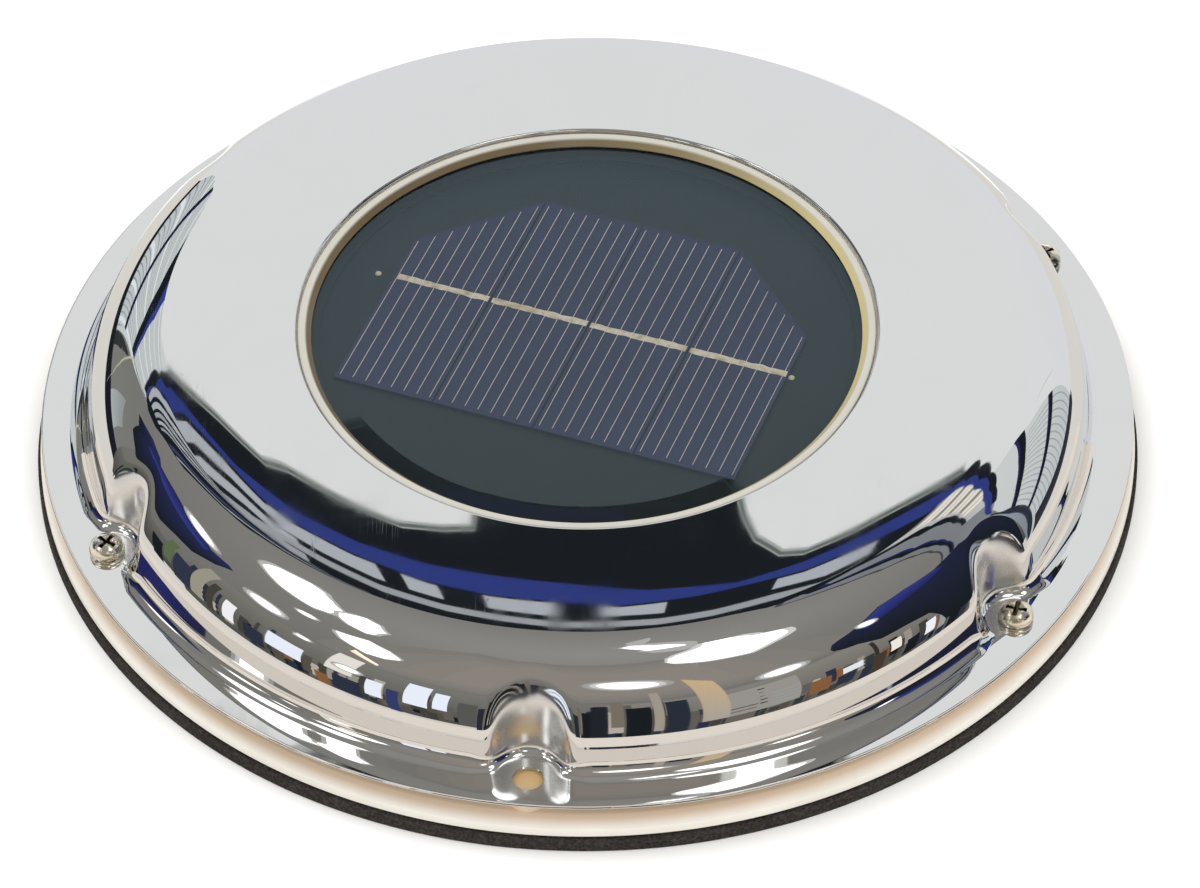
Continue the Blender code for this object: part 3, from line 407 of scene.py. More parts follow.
def foam():
    """Closed-cell foam: a cut edge full of small broken cells."""
    g, where = new_material("foam")
    cells = g.node("ShaderNodeTexVoronoi", Vector=where, Scale=1500.0).outputs["Distance"]
    pores = g.noise(where, 2600.0, 4.0, 0.7)
    blotch = g.noise(where, 90.0, 4.0, 0.6)
    stops = [(0.20, srgb(24, 22, 21)), (0.55, srgb(52, 48, 46)), (0.85, srgb(70, 65, 62))]
    tint = g.ramp(g.maths("ADD", g.times(cells, 0.55), g.times(blotch, 0.45)), stops)
    height = g.maths("SUBTRACT", cells, g.times(pores, 0.4))
    return g.solid(tint, 0.92, Normal=g.bump(height, 0.7, 0.0002), Specular_IOR_Level=0.2)


def lens_glass():
    """Clear flat glass: see-through, with a sharp reflection that grows at grazing angles."""
    g, where = new_material("lens_glass")
    dust = g.noise(where, 320.0, 6.0, 0.75)
    rough = g.span(g.noise(where, 45.0, 4.0, 0.6), 0.4, 0.7, 0.008, 0.03)
    gloss = g.node("ShaderNodeBsdfGlossy", Color=(0.64, 0.80, 0.85, 1), Roughness=rough).outputs[0]
    clear = g.node("ShaderNodeBsdfTransparent", Color=(0.84, 0.84, 0.84, 1)).outputs[0]
    edge = g.node("ShaderNodeFresnel", IOR=1.62).outputs[0]
    front = g.maths("SUBTRACT", 1.0, g.node("ShaderNodeNewGeometry").outputs["Backfacing"])
    film = g.maths("ADD", edge, g.span(dust, 0.72, 0.85, 0.0, 0.03), clamp=True)
    return g.finish(g.blend(g.times(film, front), clear, gloss))


def silicon():
    """Blue silicon with a fine crystalline shimmer and saw marks."""
    g, where = new_material("silicon")
    turned_where = g.node("ShaderNodeMapping", Vector=where, Rotation=(0, 0, CELL_ANGLE)).outputs[0]
    numbers = {"Scale": 900.0, "Distortion": 1.5, "Detail": 2.0}
    waves = g.node("ShaderNodeTexWave", {"bands_direction": "Y"}, Vector=turned_where, **numbers)
    saw = waves.outputs["Fac"]
    grain = g.node("ShaderNodeTexVoronoi", Vector=where, Scale=420.0).outputs["Color"]
    blotch = g.noise(where, 40.0, 3.0, 0.5)
    base = g.mix(blotch, srgb(38, 46, 86), srgb(48, 57, 96))
    tint = g.mix(0.04, base, grain, "SOFT_LIGHT")
    rough = g.span(saw, 0.0, 1.0, 0.42, 0.50)
    return g.solid(tint, rough, Normal=g.bump(saw, 0.02, 0.00002))


def backing():
    """The dark slate laminate behind the cell, with faint mottling."""
    g, where = new_material("panel_board")
    blotch = g.noise(where, 30.0, 4.0, 0.55)
    depth = g.span(g.apart(where)[1], -0.05, 0.05)
    near, far = srgb(18, 30, 34), srgb(32, 52, 66)
    tint = g.mix(g.times(blotch, 0.3), g.mix(depth, near, far), srgb(40, 54, 60))
    rough = g.span(blotch, 0.3, 0.7, 0.45, 0.58)
    return g.solid(tint, rough, Normal=g.bump(blotch, 0.04, 0.00004))


def solder():
    """Tinned ribbon with lumps of solder and flux stains."""
    g, where = new_material("solder")
    lumps = g.noise(where, 900.0, 5.0, 0.6, 0.6)
    stain = g.noise(where, 260.0, 4.0, 0.6)
    stops = [(0.3, srgb(196, 180, 140)), (0.45, srgb(255, 246, 224)), (0.62, srgb(214, 196, 156))]
    tint = g.ramp(stain, stops)
    rough = g.span(lumps, 0.3, 0.7, 0.25, 0.5)
    return g.solid(tint, rough, 0.3, Normal=g.bump(lumps, 0.5, 0.0002))


# ------------ dome cover


def crown_height(radius):
    """Height of the crown's outer face: it steepens evenly from the window to the shoulder."""
    end_z = SHOULDER_Z + SHOULDER_BEND * math.cos(SHOULDER_TILT)
    slope, lip_slope = math.tan(SHOULDER_TILT), math.tan(LIP_TILT)
    left = CROWN_R - radius
    bend = (slope - lip_slope) / (CROWN_R - WINDOW_R) / 2
    return end_z + slope * left - bend * left**2


def dome_distance(points):
    """Distance outside the cover's outer face, with its six scooped recesses; negative inside the metal."""
    x, y, z = points[..., 0], points[..., 1], points[..., 2]
    radius = np.hypot(x, y)
    arc = np.hypot(radius - SHOULDER_R, z - SHOULDER_Z) - SHOULDER_BEND
    across, up = math.cos(WALL_DRAFT), math.sin(WALL_DRAFT)
    wall = (radius - SHOULDER_R) * across + (z - SHOULDER_Z) * up - SHOULDER_BEND
    body = np.where((radius - SHOULDER_R) * up < (z - SHOULDER_Z) * across, arc, wall)
    body = np.where((radius < CROWN_R) & (z > SHOULDER_Z), z - crown_height(radius), body)
    nearest = np.min([np.hypot(x - screw_x, y - screw_y) for screw_x, screw_y in SCREW_PLACES], 0)
    recess = nearest - RECESS_R - (z - FLANGE_TOP) / RECESS_RISE
    body = smooth_max(body, -recess, RECESS_EASE)
    fade = 1 - smooth_step(*PAD_FADE, radius)
    pad = z - FLANGE_TOP - PAD_RAISE * (1 - smooth_step(*PAD_EDGE, nearest)) * fade
    bend = RECESS_BEND + (FOOT_BEND - RECESS_BEND) * smooth_step(*RECESS_SPREAD, nearest)
    return round_union(body, pad, bend)


def smooth_max(first, second, reach):
    """The larger of two distances, eased over the reach so that the edge is soft."""
    ease = np.maximum(reach - np.abs(first - second), 0.0) / reach
    return np.maximum(first, second) + ease**3 * reach / 6.0


def round_union(first, second, radius):
    """The join of two bodies with a round fillet between them."""
    corner = np.hypot(np.maximum(radius - first, 0.0), np.maximum(radius - second, 0.0))
    return np.maximum(radius, np.minimum(first, second)) - corner


def dome_columns():
    """Azimuths of the cover's columns: close together round each recess."""
    near, far = math.radians(8.5), math.radians(60)
    fine_count, coarse_count = 120, 44
    fine = np.linspace(-near, near, fine_count, endpoint=False)
    coarse = np.linspace(near, far - near, coarse_count, endpoint=False)
    return np.concatenate([azimuth + np.concatenate([fine, coarse]) for azimuth in SCREW_AZIMUTHS])


def dome_rows():
    """Profile points (radius, height) of the outer face and the way into the metal from each."""
    rows = []
    for radius in np.linspace(WINDOW_R + LIP_BEND, CROWN_R, CROWN_ROWS, endpoint=False):
        rows.append((radius, crown_height(radius), 0.0, -1.0))
    for angle in np.linspace(math.pi / 2 - SHOULDER_TILT, 0.0, SHOULDER_ROWS):
        c, s = math.cos(angle), math.sin(angle)
        rows.append((SHOULDER_R + SHOULDER_BEND * c, SHOULDER_Z + SHOULDER_BEND * s, -c, -s))
    for angle in np.linspace(math.pi, 1.5 * math.pi, FOOT_ROWS):
        c, s = math.cos(angle), math.sin(angle)
        rows.append((FOOT_R + FOOT_BEND * c, FLANGE_TOP + FOOT_BEND + FOOT_BEND * s, c, s))
    for radius in np.linspace(FOOT_R, FLANGE_R - EDGE_BEND, FLANGE_ROWS)[1:]:
        rows.append((radius, FLANGE_TOP, 0.0, -1.0))
    return np.array(rows)


def cast_to_surface(start, way, reach, steps=40, halvings=22):
    """First point along each ray where the distance changes sign."""
    low = np.zeros(start.shape[:-1])
    high = np.full(start.shape[:-1], reach)
    found = np.zeros(start.shape[:-1], bool)
    for step in range(1, steps + 1):
        travel = reach * step / steps
        inside = dome_distance(start + way * travel) < 0
        fresh = inside & ~found
        high[fresh] = travel
        low[fresh] = travel - reach / steps
        found |= inside
    for _ in range(halvings):
        middle = (low + high) / 2
        inside = dome_distance(start + way * middle[..., None]) < 0
        high = np.where(inside, middle, high)
        low = np.where(inside, low, middle)
    return start + way * ((low + high) / 2)[..., None]


def surface_normals(points):
    shifts = np.eye(3) * 0.02
    slopes = [dome_distance(points + shift) - dome_distance(points - shift) for shift in shifts]
    normals = np.stack(slopes, -1)
    return normals / np.linalg.norm(normals, axis=-1, keepdims=True)


def make_dome():
    """The cover as one closed sheet: the lip at the window, outer face, flange rim and inner face."""
    columns, rows = dome_columns(), dome_rows()
    c, s = np.cos(columns), np.sin(columns)
    base = spread(rows[:, 0], rows[:, 1], c, s)
    way = spread(rows[:, 2], rows[:, 3], c, s)
    clearance, ray = 1.5, 16.0
    outer = cast_to_surface(base - way * clearance, way, ray)
    normals = surface_normals(outer)
    outer = open_holes(outer)
    inner = outer - normals * SHEET

    def bend(centre_r, centre_z, radius, angles):
        """A rounded edge, as its points and its normals."""
        out, up = np.cos(angles), np.sin(angles)
        return spread(centre_r + radius * out, centre_z + radius * up, c, s), spread(out, up, c, s)

    lip_r = WINDOW_R + LIP_BEND
    lip_angles = np.linspace(math.pi, math.pi / 2, 5, endpoint=False)
    lip, lip_n = bend(lip_r, crown_height(lip_r) - LIP_BEND, LIP_BEND, lip_angles)
    rim_angles = np.linspace(math.pi / 2, -math.pi / 2, 9)[1:-1]
    rim, rim_n = bend(FLANGE_R - EDGE_BEND, FLANGE_TOP - EDGE_BEND, EDGE_BEND, rim_angles)
    points = np.concatenate([lip, outer, rim, inner[::-1]])
    directions = np.concatenate([lip_n, normals, rim_n, -normals[::-1]])
    faces = grid_faces(len(points), len(columns), True)
    vertices = points.reshape(-1, 3)
    faces, hole_walls = cut_holes(vertices, faces, len(lip), len(outer), len(rim), len(columns))
    faces = np.concatenate([faces, hole_walls])
    obj = object_from("dome_shell", vertices, faces, directions.reshape(-1, 3))
    return finish_piece(obj, polished_steel(), ["dome_cover"])


def open_holes(points):
    """Moves the points nearest each screw hole onto its edge."""
    snap = 0.16
    for centre in SCREW_PLACES:
        offset = points[..., :2] - centre
        away = np.linalg.norm(offset, axis=-1)
        near = (points[..., 2] < LOW_ZONE) & (np.abs(away - HOLE_R) < snap)
        scale = np.where(near, HOLE_R / np.maximum(away, 1e-6), 1.0)
        points = points.copy()
        points[..., :2] = centre + offset * scale[..., None]
    return points


def cut_holes(vertices, faces, before, count, between, columns):
    """Leaves out the faces over each screw hole, and walls the hole between the two faces of the sheet."""
    centres = vertices[faces].mean(1)
    keep = np.ones(len(faces), bool)
    walls = []
    total = 2 * count + before + between
    for x, y in SCREW_PLACES:
        away = np.hypot(centres[:, 0] - x, centres[:, 1] - y)
        inside = (away < HOLE_R) & (centres[:, 2] < LOW_ZONE)
        keep &= ~inside
        row = faces[inside][:, 0] // columns
        upper = faces[inside][(row >= before) & (row < before + count)]
        edges = {}
        for face in upper:
            for i in range(4):
                a, b = int(face[i]), int(face[(i + 1) % 4])
                if (b, a) in edges:
                    del edges[(b, a)]
                else:
                    edges[(a, b)] = True
        for a, b in edges:
            walls.append([a, b] + [mirrored(end, total, before, columns) for end in (b, a)])
            for corner in walls[-1]:
                offset = vertices[corner, :2] - (x, y)
                vertices[corner, :2] = (x, y) + offset * HOLE_R / np.linalg.norm(offset)
    return faces[keep], np.array(walls)


def mirrored(index, total, before, columns):
    """The inner face's point behind a point of the outer face."""
    row, column = divmod(index, columns)
    return (total - 1 - (row - before)) * columns + column


# ------------ fixings


def pan_head(name, x, y, z, turn):
    """A pan-head screw with a tapered cross recess, sunk by cutting, with its rim softened."""
    profile = [(0.0, z + 2.5), (1.6, z + 2.42), (2.6, z + 2.05), (3.2, z + 1.35), (3.4, z + 0.6)]
    profile += [(3.4, z + 0.15, 0.1), (3.3, z), (1.8, z), (1.8, z - 6.0), (0.0, z - 7.0)]
    head = turned(name, profile, 64, x, y)
    cutter = cross_cutter(x, y, z + 2.5, turn)
    cut = head.modifiers.new("cross", "BOOLEAN")
    cut.operation = "DIFFERENCE"
    cut.object = cutter
    cut.solver = "EXACT"
    apply_modifiers(head)
    bpy.data.objects.remove(cutter, do_unlink=True)
    head.data.shade_smooth()
    head.data.set_sharp_from_angle(angle=math.radians(32))
    return head


def cross_cutter(x, y, top, turn):
    """A tapered cross, open at the top, for a screw head's recess."""
    arm, half, over, depth = 2.15, 0.5, 0.4, 1.7
    levels = [(top + over, 1.05), (top - depth * 0.55, 0.82), (top - depth, 0.30)]
    outline = []
    for quarter in range(4):
        spin = Matrix.Rotation(turn + quarter * math.pi / 2, 2)
        outline += [spin @ Vector(point) for point in ((half, half), (half, arm), (-half, arm))]
    points = [(x + spot.x * scale, y + spot.y * scale, z) for z, scale in levels for spot in outline]
    count = len(outline)
    caps = [list(range(count)), list(range(len(points) - 1, len(points) - 1 - count, -1))]
    return object_from("cross", points, grid_faces(len(levels), count, False).tolist() + caps)


def apply_modifiers(obj):
    bpy.context.view_layer.update()
    graph = bpy.context.evaluated_depsgraph_get()
    mesh = bpy.data.meshes.new_from_object(obj.evaluated_get(graph))
    obj.modifiers.clear()
    obj.data = mesh


def make_screws(material):
    seat = FLANGE_TOP + 0.5
    filled = [i for i in range(len(SCREW_PLACES)) if i != EMPTY_RECESS]
    for number, i in enumerate(filled, 1):
        screw = pan_head(f"pan_head_{number}", *SCREW_PLACES[i], seat, SCREW_AZIMUTHS[i] + 0.7 * i)
        finish_piece(screw, material, [f"cover_screw_{number}"])


# ------------ base, gasket, window


def make_base(material):
    profile = [(56.5, 19.0, 0.5), (57.0, 7.9, 0.6), (104.0, 7.5, 0.8), (105.5, 6.9, 0.8)]
    profile += [(108.0, 5.3, 0.35), (108.0, 3.3, 0.2), (57.5, 3.3, 0.4), (57.5, -28.0, 0.3)]
    profile += [(54.5, -28.0, 0.3), (54.5, 19.0, 0.5)]
    turned_piece("base_ring", profile, material, ["vent_base"])
    pillar = [(0.0, 9.8), (4.7, 9.8, 0.3), (4.8, 6.5), (0.0, 6.5)]
    for i, (x, y) in enumerate(SCREW_PLACES, 1):
        turned_piece(f"base_pillar_{i}", pillar, material, (), 48, x, y)


def make_gasket():
    """The foam ring, with a cut edge that wavers a little."""
    count = 432
    profile = [(108.75, 3.0, 0.25), (108.6, 1.5), (108.75, 0.02, 0.25), (62.0, 0.02), (62.0, 3.0)]
    gasket = turned_piece("foam_ring", profile, foam(), ["deck_gasket"], count)
    rng = np.random.default_rng(7)
    angles = np.arange(count) * 2 * math.pi / count
    waver = np.zeros(count)
    for wave in (3, 7, 19, 41, 83):
        waver += rng.normal() * 0.05 * np.cos(wave * angles + rng.uniform(0, 6.3)) / wave**0.3
    for vertex in gasket.data.vertices:
        radius = math.hypot(vertex.co.x, vertex.co.y) / MM
        if radius > 100:
            turn = math.atan2(vertex.co.y, vertex.co.x) / (2 * math.pi)
            cut = min(0.0, waver[round(turn * count) % count] - 0.05)
            vertex.co.x *= 1 + cut / radius
            vertex.co.y *= 1 + cut / radius


def make_window(rim_finish, board_finish):
    """The bezel's rounded rim and sloping throat, the glass, the board and its raised dark border."""
    bezel = [(54.9, 32.3, 0.35), (56.3, 32.3, 0.35), (56.3, 31.7), (55.4, 31.7), (55.4, 30.92)]
    bezel += [(53.5, 30.92, 0.1)]
    turned_piece("bezel_ring", bezel, rim_finish, ["window_bezel"])
    lens = [(0.0, 30.9), (49.1, 30.9), (49.4, 30.9), (49.7, 30.887), (55.1, 30.65, 0.2), (55.4, 30.5)]
    lens += [(55.4, 29.7, 0.1), (0.0, 29.7)]
    turned_piece("lens_pane", lens, lens_glass(), ["panel_lens"])
    board = [(0.0, 28.3), (52.4, 28.3, 0.1), (52.4, 26.7), (0.0, 26.7)]
    turned_piece("cell_backing", board, board_finish, ["cell_board"])
    border = [(52.35, 28.5), (55.6, 29.1), (55.6, 28.7), (52.35, 28.35)]
    turned_piece("board_border", border, board_finish, ["lens_seal"])


def cell_place(u, v, z):
    """A point given along the cell's turned axes."""
    c, s = math.cos(CELL_ANGLE), math.sin(CELL_ANGLE)
    u += CELL_CENTRE_U
    return u * c - v * s, u * s + v * c, z


def make_fingers(material):
    """The fine conductor lines across the four strips, as thin raised bars."""
    half_width, height = 0.05, 0.04
    vertices, faces = [], []
    sides = [(4, 5, 6, 7), (3, 2, 1, 0), (0, 1, 5, 4), (1, 2, 6, 5), (2, 3, 7, 6), (3, 0, 4, 7)]
    for number in range(4):
        for line in range(8):
            u = STRIP * (number - 2) + 1.0 + line * (STRIP - 2.0) / 7
            outside = max(0.0, abs(u) - STRIP) / STRIP
            back = CELL_BACK_V - (CELL_BACK_V - CELL_CHAMFER_V) * outside - 1.2
            low, high, front = u - half_width, u + half_width, CELL_FRONT_V + 1.1
            faces += [[len(vertices) + corner for corner in side] for side in sides]
            for z in (FACE_Z - height, FACE_Z):
                corners = ((low, front), (high, front), (high, back), (low, back))
                vertices += [cell_place(*corner, z) for corner in corners]
    finish_piece(object_from("cell_fingers", vertices, faces), material)


def uneven(values, count):
    """The values spread evenly over the count of places, with straight runs between them."""
    return np.interp(np.linspace(0, 1, count), np.linspace(0, 1, len(values)), values)


def make_ribbons(material):
    """Tinned ribbons with uneven solder along them, and a dot of solder beyond each end."""
    rng = np.random.default_rng(11)
    along, across, gap, first_cut = 70, 9, 0.35, 0.8
    for number in range(4):
        low = STRIP * (number - 2) + gap
        high = low + STRIP - 2 * gap
        if number == 0:
            low += first_cut
        waver = uneven(rng.normal(0.0, 0.06, 12), along)
        width = 0.78 + uneven(rng.normal(0.0, 0.07, 22), along)
        lump = 0.10 + uneven(rng.uniform(0.0, 0.14, 30), along)
        vertices = []
        for i, u in enumerate(np.linspace(low, high, along)):
            taper = min(1.0, 3.0 * min(i, along - 1 - i) / along + 0.35)
            for share in np.linspace(-1, 1, across):
                z = FACE_Z + 0.01 + (1 - share * share) ** 0.5 * lump[i] * taper
                vertices.append(cell_place(u, RIBBON_V + waver[i] + share * width[i], z))
        starts = [i * across + j for i in range(along - 1) for j in range(across - 1)]
        faces = [[a, a + across, a + across + 1, a + 1] for a in starts]
        ribbon = object_from(f"ribbon_{number + 1}", vertices, faces)
        finish_piece(ribbon, material, [f"cell_ribbon_{number + 1}"])
    dot = [(0.0, 28.75), (0.35, 28.68), (0.6, 28.45), (0.65, 28.31), (0.0, 28.31)]
    for number, u in enumerate((-44.4, 41.9), 1):
        x, y, _ = cell_place(u, RIBBON_V, 0.0)
        turned_piece(f"solder_dot_{number}", dot, material, (), 20, x, y)


# ------------ below the deck


def make_trim(white):
    trim = [(54.2, -16.0, 0.3), (54.2, -28.8), (57.9, -28.8), (57.9, -28.4), (78.2, -28.4, 0.4)]
    trim += [(79.5, -29.4, 0.6), (79.5, -30.3, 0.6), (77.6, -31.0, 0.8), (52.3, -31.0, 0.5)]
    trim += [(52.3, -16.0, 0.3)]
    turned_piece("ceiling_ring", trim, white, ["trim_ring"])


def make_screen(material):
    """Woven wire in a pressed ring."""
    ring = [(50.0, -22.3, 0.3), (51.9, -22.3, 0.3), (51.9, -24.1, 0.3), (50.0, -24.1, 0.3)]
    turned_piece("screen_rim", ring, material)
    curve = bpy.data.curves.new("woven_wire", "CURVE")
    curve.dimensions = "3D"
    curve.bevel_depth = 0.11 * MM
    curve.bevel_resolution = 0
    pitch, reach, lift, middle = 2.0, 50.2, 0.11, -23.4
    count = int(reach // pitch)
    for k in range(-count, count + 1):
        across = k * pitch
        half = int(math.sqrt(reach * reach - across * across) // (pitch / 2))
        marks = [m * pitch / 2 for m in range(-half, half + 1)]
        waves = [lift * math.cos(math.pi * (m / pitch + k)) for m in marks]
        add_wire(curve, [(m, across, middle + wave) for m, wave in zip(marks, waves)])
        add_wire(curve, [(across, m, middle - wave) for m, wave in zip(marks, waves)])
    wire = add_object("woven_wire", curve)
    finish_piece(wire, material, ["insect_screen"])


def add_wire(curve, points):
    spline = curve.splines.new("POLY")
    spline.points.add(len(points) - 1)
    for target, point in zip(spline.points, points):
        target.co = (*[value * MM for value in point], 1.0)


# ------------ CAD nodes that stay


def dress(material, *names):
    """A better material on each CAD node that keeps its shape."""
    for name in names:
        nodes[name].data.materials.clear()
        nodes[name].data.materials.append(material)


# ------------ light, floor, camera


def make_floor():
    """A plain pale floor on the deck plane, open under the vent where the deck is cut."""
    steps = 96
    rings = np.array([60.5, 110.0, 200.0, 400.0, 900.0, 2000.0, 5000.0, 12000.0])
    angles = np.arange(steps) * 2 * math.pi / steps
    points = spread(rings, np.zeros(len(rings)), np.cos(angles), np.sin(angles))
    floor = object_from("floor", points.reshape(-1, 3), grid_faces(len(rings), steps, False))
    g, where = new_material("floor")
    pale = g.mix(g.noise(where, 3.0, 3.0), (0.93, 0.93, 0.93, 1), (0.95, 0.95, 0.95, 1))
    floor.data.materials.append(g.solid(pale, 0.8, Specular_IOR_Level=0.1))
    floor.visible_glossy = False


def make_world():
    """A white world for the eye, and a soft, slightly warm one for everything that isn't a mirror."""
    world = bpy.data.worlds.new("studio")
    bpy.context.scene.world = world
    g = Graph(world)
    direct = g.node("ShaderNodeLightPath").outputs["Is Camera Ray"]
    soft = g.node("ShaderNodeBackground", Color=(1.0, 0.98, 0.95, 1), Strength=1.0).outputs[0]
    plain = g.node("ShaderNodeBackground", Color=(1, 1, 1, 1), Strength=1.0).outputs[0]
    g.node("ShaderNodeOutputWorld", Surface=g.blend(direct, soft, plain))


class Studio:
    """The room that the polished cover mirrors, as painted panels round it, seen only in reflections.

    Azimuth 0 is behind the object, +90 is to its right, and +-180 is the camera's side; both
    azimuth and elevation are in degrees. Each new panel lies just in front of those before it, and
    its tones are display values, where over 255 is brighter than white.

    RADIUS is the first panel's distance and LAYER the step between panels, in metres. MIRROR is the
    share of light that the steel gives back. LIFT raises the whole room. COLUMN and ROW are the
    spacing of a panel's points, in degrees.
    """

    RADIUS, LAYER, MIRROR, LIFT = 90.0, 0.15, 0.85, 0.03
    COLUMN, ROW = 2.5, 5.0

    def __init__(self):
        self.vertices, self.faces, self.tones, self.layer = [], [], [], 0

    def band(self, edge, low_tone, high_tone=None, level=1.0):
        """A panel between a lower and an upper line, from (azimuth, lower, upper) points."""
        self.layer += 1
        edge = np.array(edge, float)
        count = max(2, int((edge[-1, 0] - edge[0, 0]) / self.COLUMN) + 2)
        azimuths = np.unique(np.concatenate([np.linspace(edge[0, 0], edge[-1, 0], count), edge[:, 0]]))
        low = np.interp(azimuths, edge[:, 0], edge[:, 1])
        high = np.interp(azimuths, edge[:, 0], edge[:, 2])
        rows = max(2, int((high - low).max() / self.ROW) + 2)
        share = np.linspace(0, 1, rows)[:, None]
        elevation = np.radians(low + (high - low) * share)
        azimuth = np.radians(np.broadcast_to(azimuths, elevation.shape))
        flat = np.cos(elevation)
        around = [flat * np.sin(azimuth), flat * np.cos(azimuth), np.sin(elevation)]
        start = len(self.vertices)
        points = np.stack(around, -1) * (self.RADIUS - self.layer * self.LAYER)
        self.vertices += points.reshape(-1, 3).tolist()
        first, last = (np.array(srgb(*given)[:3]) for given in (low_tone, high_tone or low_tone))
        tone = (first + (last - first) * share) * level / self.MIRROR
        tone = np.broadcast_to(tone[:, None, :], (rows, len(azimuths), 3))
        self.tones += tone.reshape(-1, 3).tolist()
        index = start + np.arange(rows * len(azimuths)).reshape(rows, -1)
        quads = [index[:-1, :-1], index[:-1, 1:], index[1:, 1:], index[1:, :-1]]
        self.faces += np.stack(quads, -1).reshape(-1, 4).tolist()

    def box(self, azimuths, elevations, low_tone, high_tone=None):
        self.band([(azimuth, *elevations) for azimuth in azimuths], low_tone, high_tone)

    def row(self, panels):
        """Upright panels that share one layer, from (first, last, low, high, tone)."""
        for first, last, low, high, tone in panels:
            self.box((first, last), (low, high), tone)
            self.layer -= 1
        self.layer += 1

    def between(self, lower, upper, tone):
        """A panel between two lines of (azimuth, elevation) points."""
        low, high = np.array(lower, float), np.array(upper, float)
        first, last = max(low[0, 0], high[0, 0]), min(low[-1, 0], high[-1, 0])
        azimuths = np.unique(np.clip(np.concatenate([low[:, 0], high[:, 0]]), first, last))
        lows, highs = np.interp(azimuths, *low.T), np.interp(azimuths, *high.T)
        self.band(np.stack([azimuths, lows, np.maximum(lows, highs)], -1), tone)

    def beam(self, line, thickness, tone):
        """A bar along a line of (azimuth, elevation) points."""
        self.band([(a, e - thickness / 2, e + thickness / 2) for a, e in line], tone)

    def spot(self, azimuth, elevation, width, height, lean=0.0):
        """A lamp with a soft halo."""
        for scale, level in ((1.5, 0.35), (1.25, 0.6), (1.0, 1.6)):
            edge = []
            for i in range(9):
                across = math.cos(math.pi * (1 - i / 8))
                half = height / 2 * scale * math.sqrt(max(0.0, 1 - across * across))
                middle = elevation + lean * across
                edge.append((azimuth + width / 2 * scale * across, middle - half, middle + half))
            self.band(edge, (255, 255, 253), level=level)

    def clutter(self, first, last, low, high, tones, seed):
        """A crowded strip of a room: narrow upright shapes of uneven height."""
        rng = np.random.default_rng(seed)
        panels, azimuth = [], first
        while azimuth < last:
            width = rng.uniform(0.5, 2.6)
            bottom, top = low + rng.uniform(0, 5), high - rng.uniform(0, 0.7) * (high - low)
            panels.append((azimuth, azimuth + width, bottom, top, tones[rng.integers(len(tones))]))
            azimuth += width * rng.uniform(0.7, 1.3)
        self.row(panels)

    def collar(self, radius, low, high, tone):
        """A low pale card just outside the flange's edge, which the foot of the cover mirrors."""
        steps, start = 90, len(self.vertices)
        tone = [value / self.MIRROR for value in srgb(*tone)[:3]]
        for i in range(steps + 1):
            angle = math.pi * (1.02 + 0.96 * i / steps)
            for z in (low, high):
                place = (radius * math.cos(angle), radius * math.sin(angle), z - self.LIFT)
                self.vertices.append(place)
                self.tones.append(tone)
        for i in range(steps):
            a = start + 2 * i
            self.faces.append([a, a + 2, a + 3, a + 1])

    def finish(self):
        mesh = bpy.data.meshes.new("studio_panels")
        mesh.from_pydata(self.vertices, [], self.faces)
        tones = mesh.color_attributes.new("tone", "FLOAT_COLOR", "POINT")
        values = np.concatenate([np.array(self.tones), np.ones((len(self.tones), 1))], 1)
        tones.data.foreach_set("color", values.ravel())
        g = Graph(bpy.data.materials.new("studio_panels"))
        tone = g.node("ShaderNodeAttribute", {"attribute_name": "tone"}).outputs["Color"]
        made = g.finish(g.node("ShaderNodeEmission", Color=tone).outputs[0])
        made.cycles.emission_sampling = "NONE"
        mesh.materials.append(made)
        obj = add_object("studio_panels", mesh)
        obj.location.z = self.LIFT
        for kind in ("camera", "diffuse", "transmission", "volume_scatter", "shadow"):
            setattr(obj, f"visible_{kind}", False)


# Tones of the room
NIGHT, NAVY, BLUE = (26, 30, 34), (36, 40, 92), (50, 60, 132)
PANE, PANE_HIGH = (184, 190, 194), (200, 204, 204)
TABLE = (206, 202, 194)


def make_studio():
    studio = Studio()
    everywhere, ceiling = (-180, 180), (122, 120, 116)
    studio.box(everywhere, (-90, -15), TABLE)
    studio.box(everywhere, (-15, 5), (70, 68, 66), (104, 102, 98))
    studio.box(everywhere, (5, 50), (112, 110, 106), ceiling)
    studio.box(everywhere, (50, 89.9), ceiling, (140, 138, 134))
    for step, tone in enumerate([(125, 122, 117), (129, 125, 120), (133, 128, 122), (137, 131, 124)]):
        low, high = 26 + 3 * step, 76 - 4 * step
        studio.box((-180, -120 - 9 * step), (low, high), tone)
        studio.box((120 + 9 * step, 180), (low, high), tone)
    paint_camera_side(studio)
    paint_left_side(studio)
    paint_right_side(studio)
    paint_card(studio)
    paint_arc(studio)
    paint_lamps(studio)
    studio.collar(0.1078, 0.0110, 0.0143, (222, 213, 203))
    studio.finish()


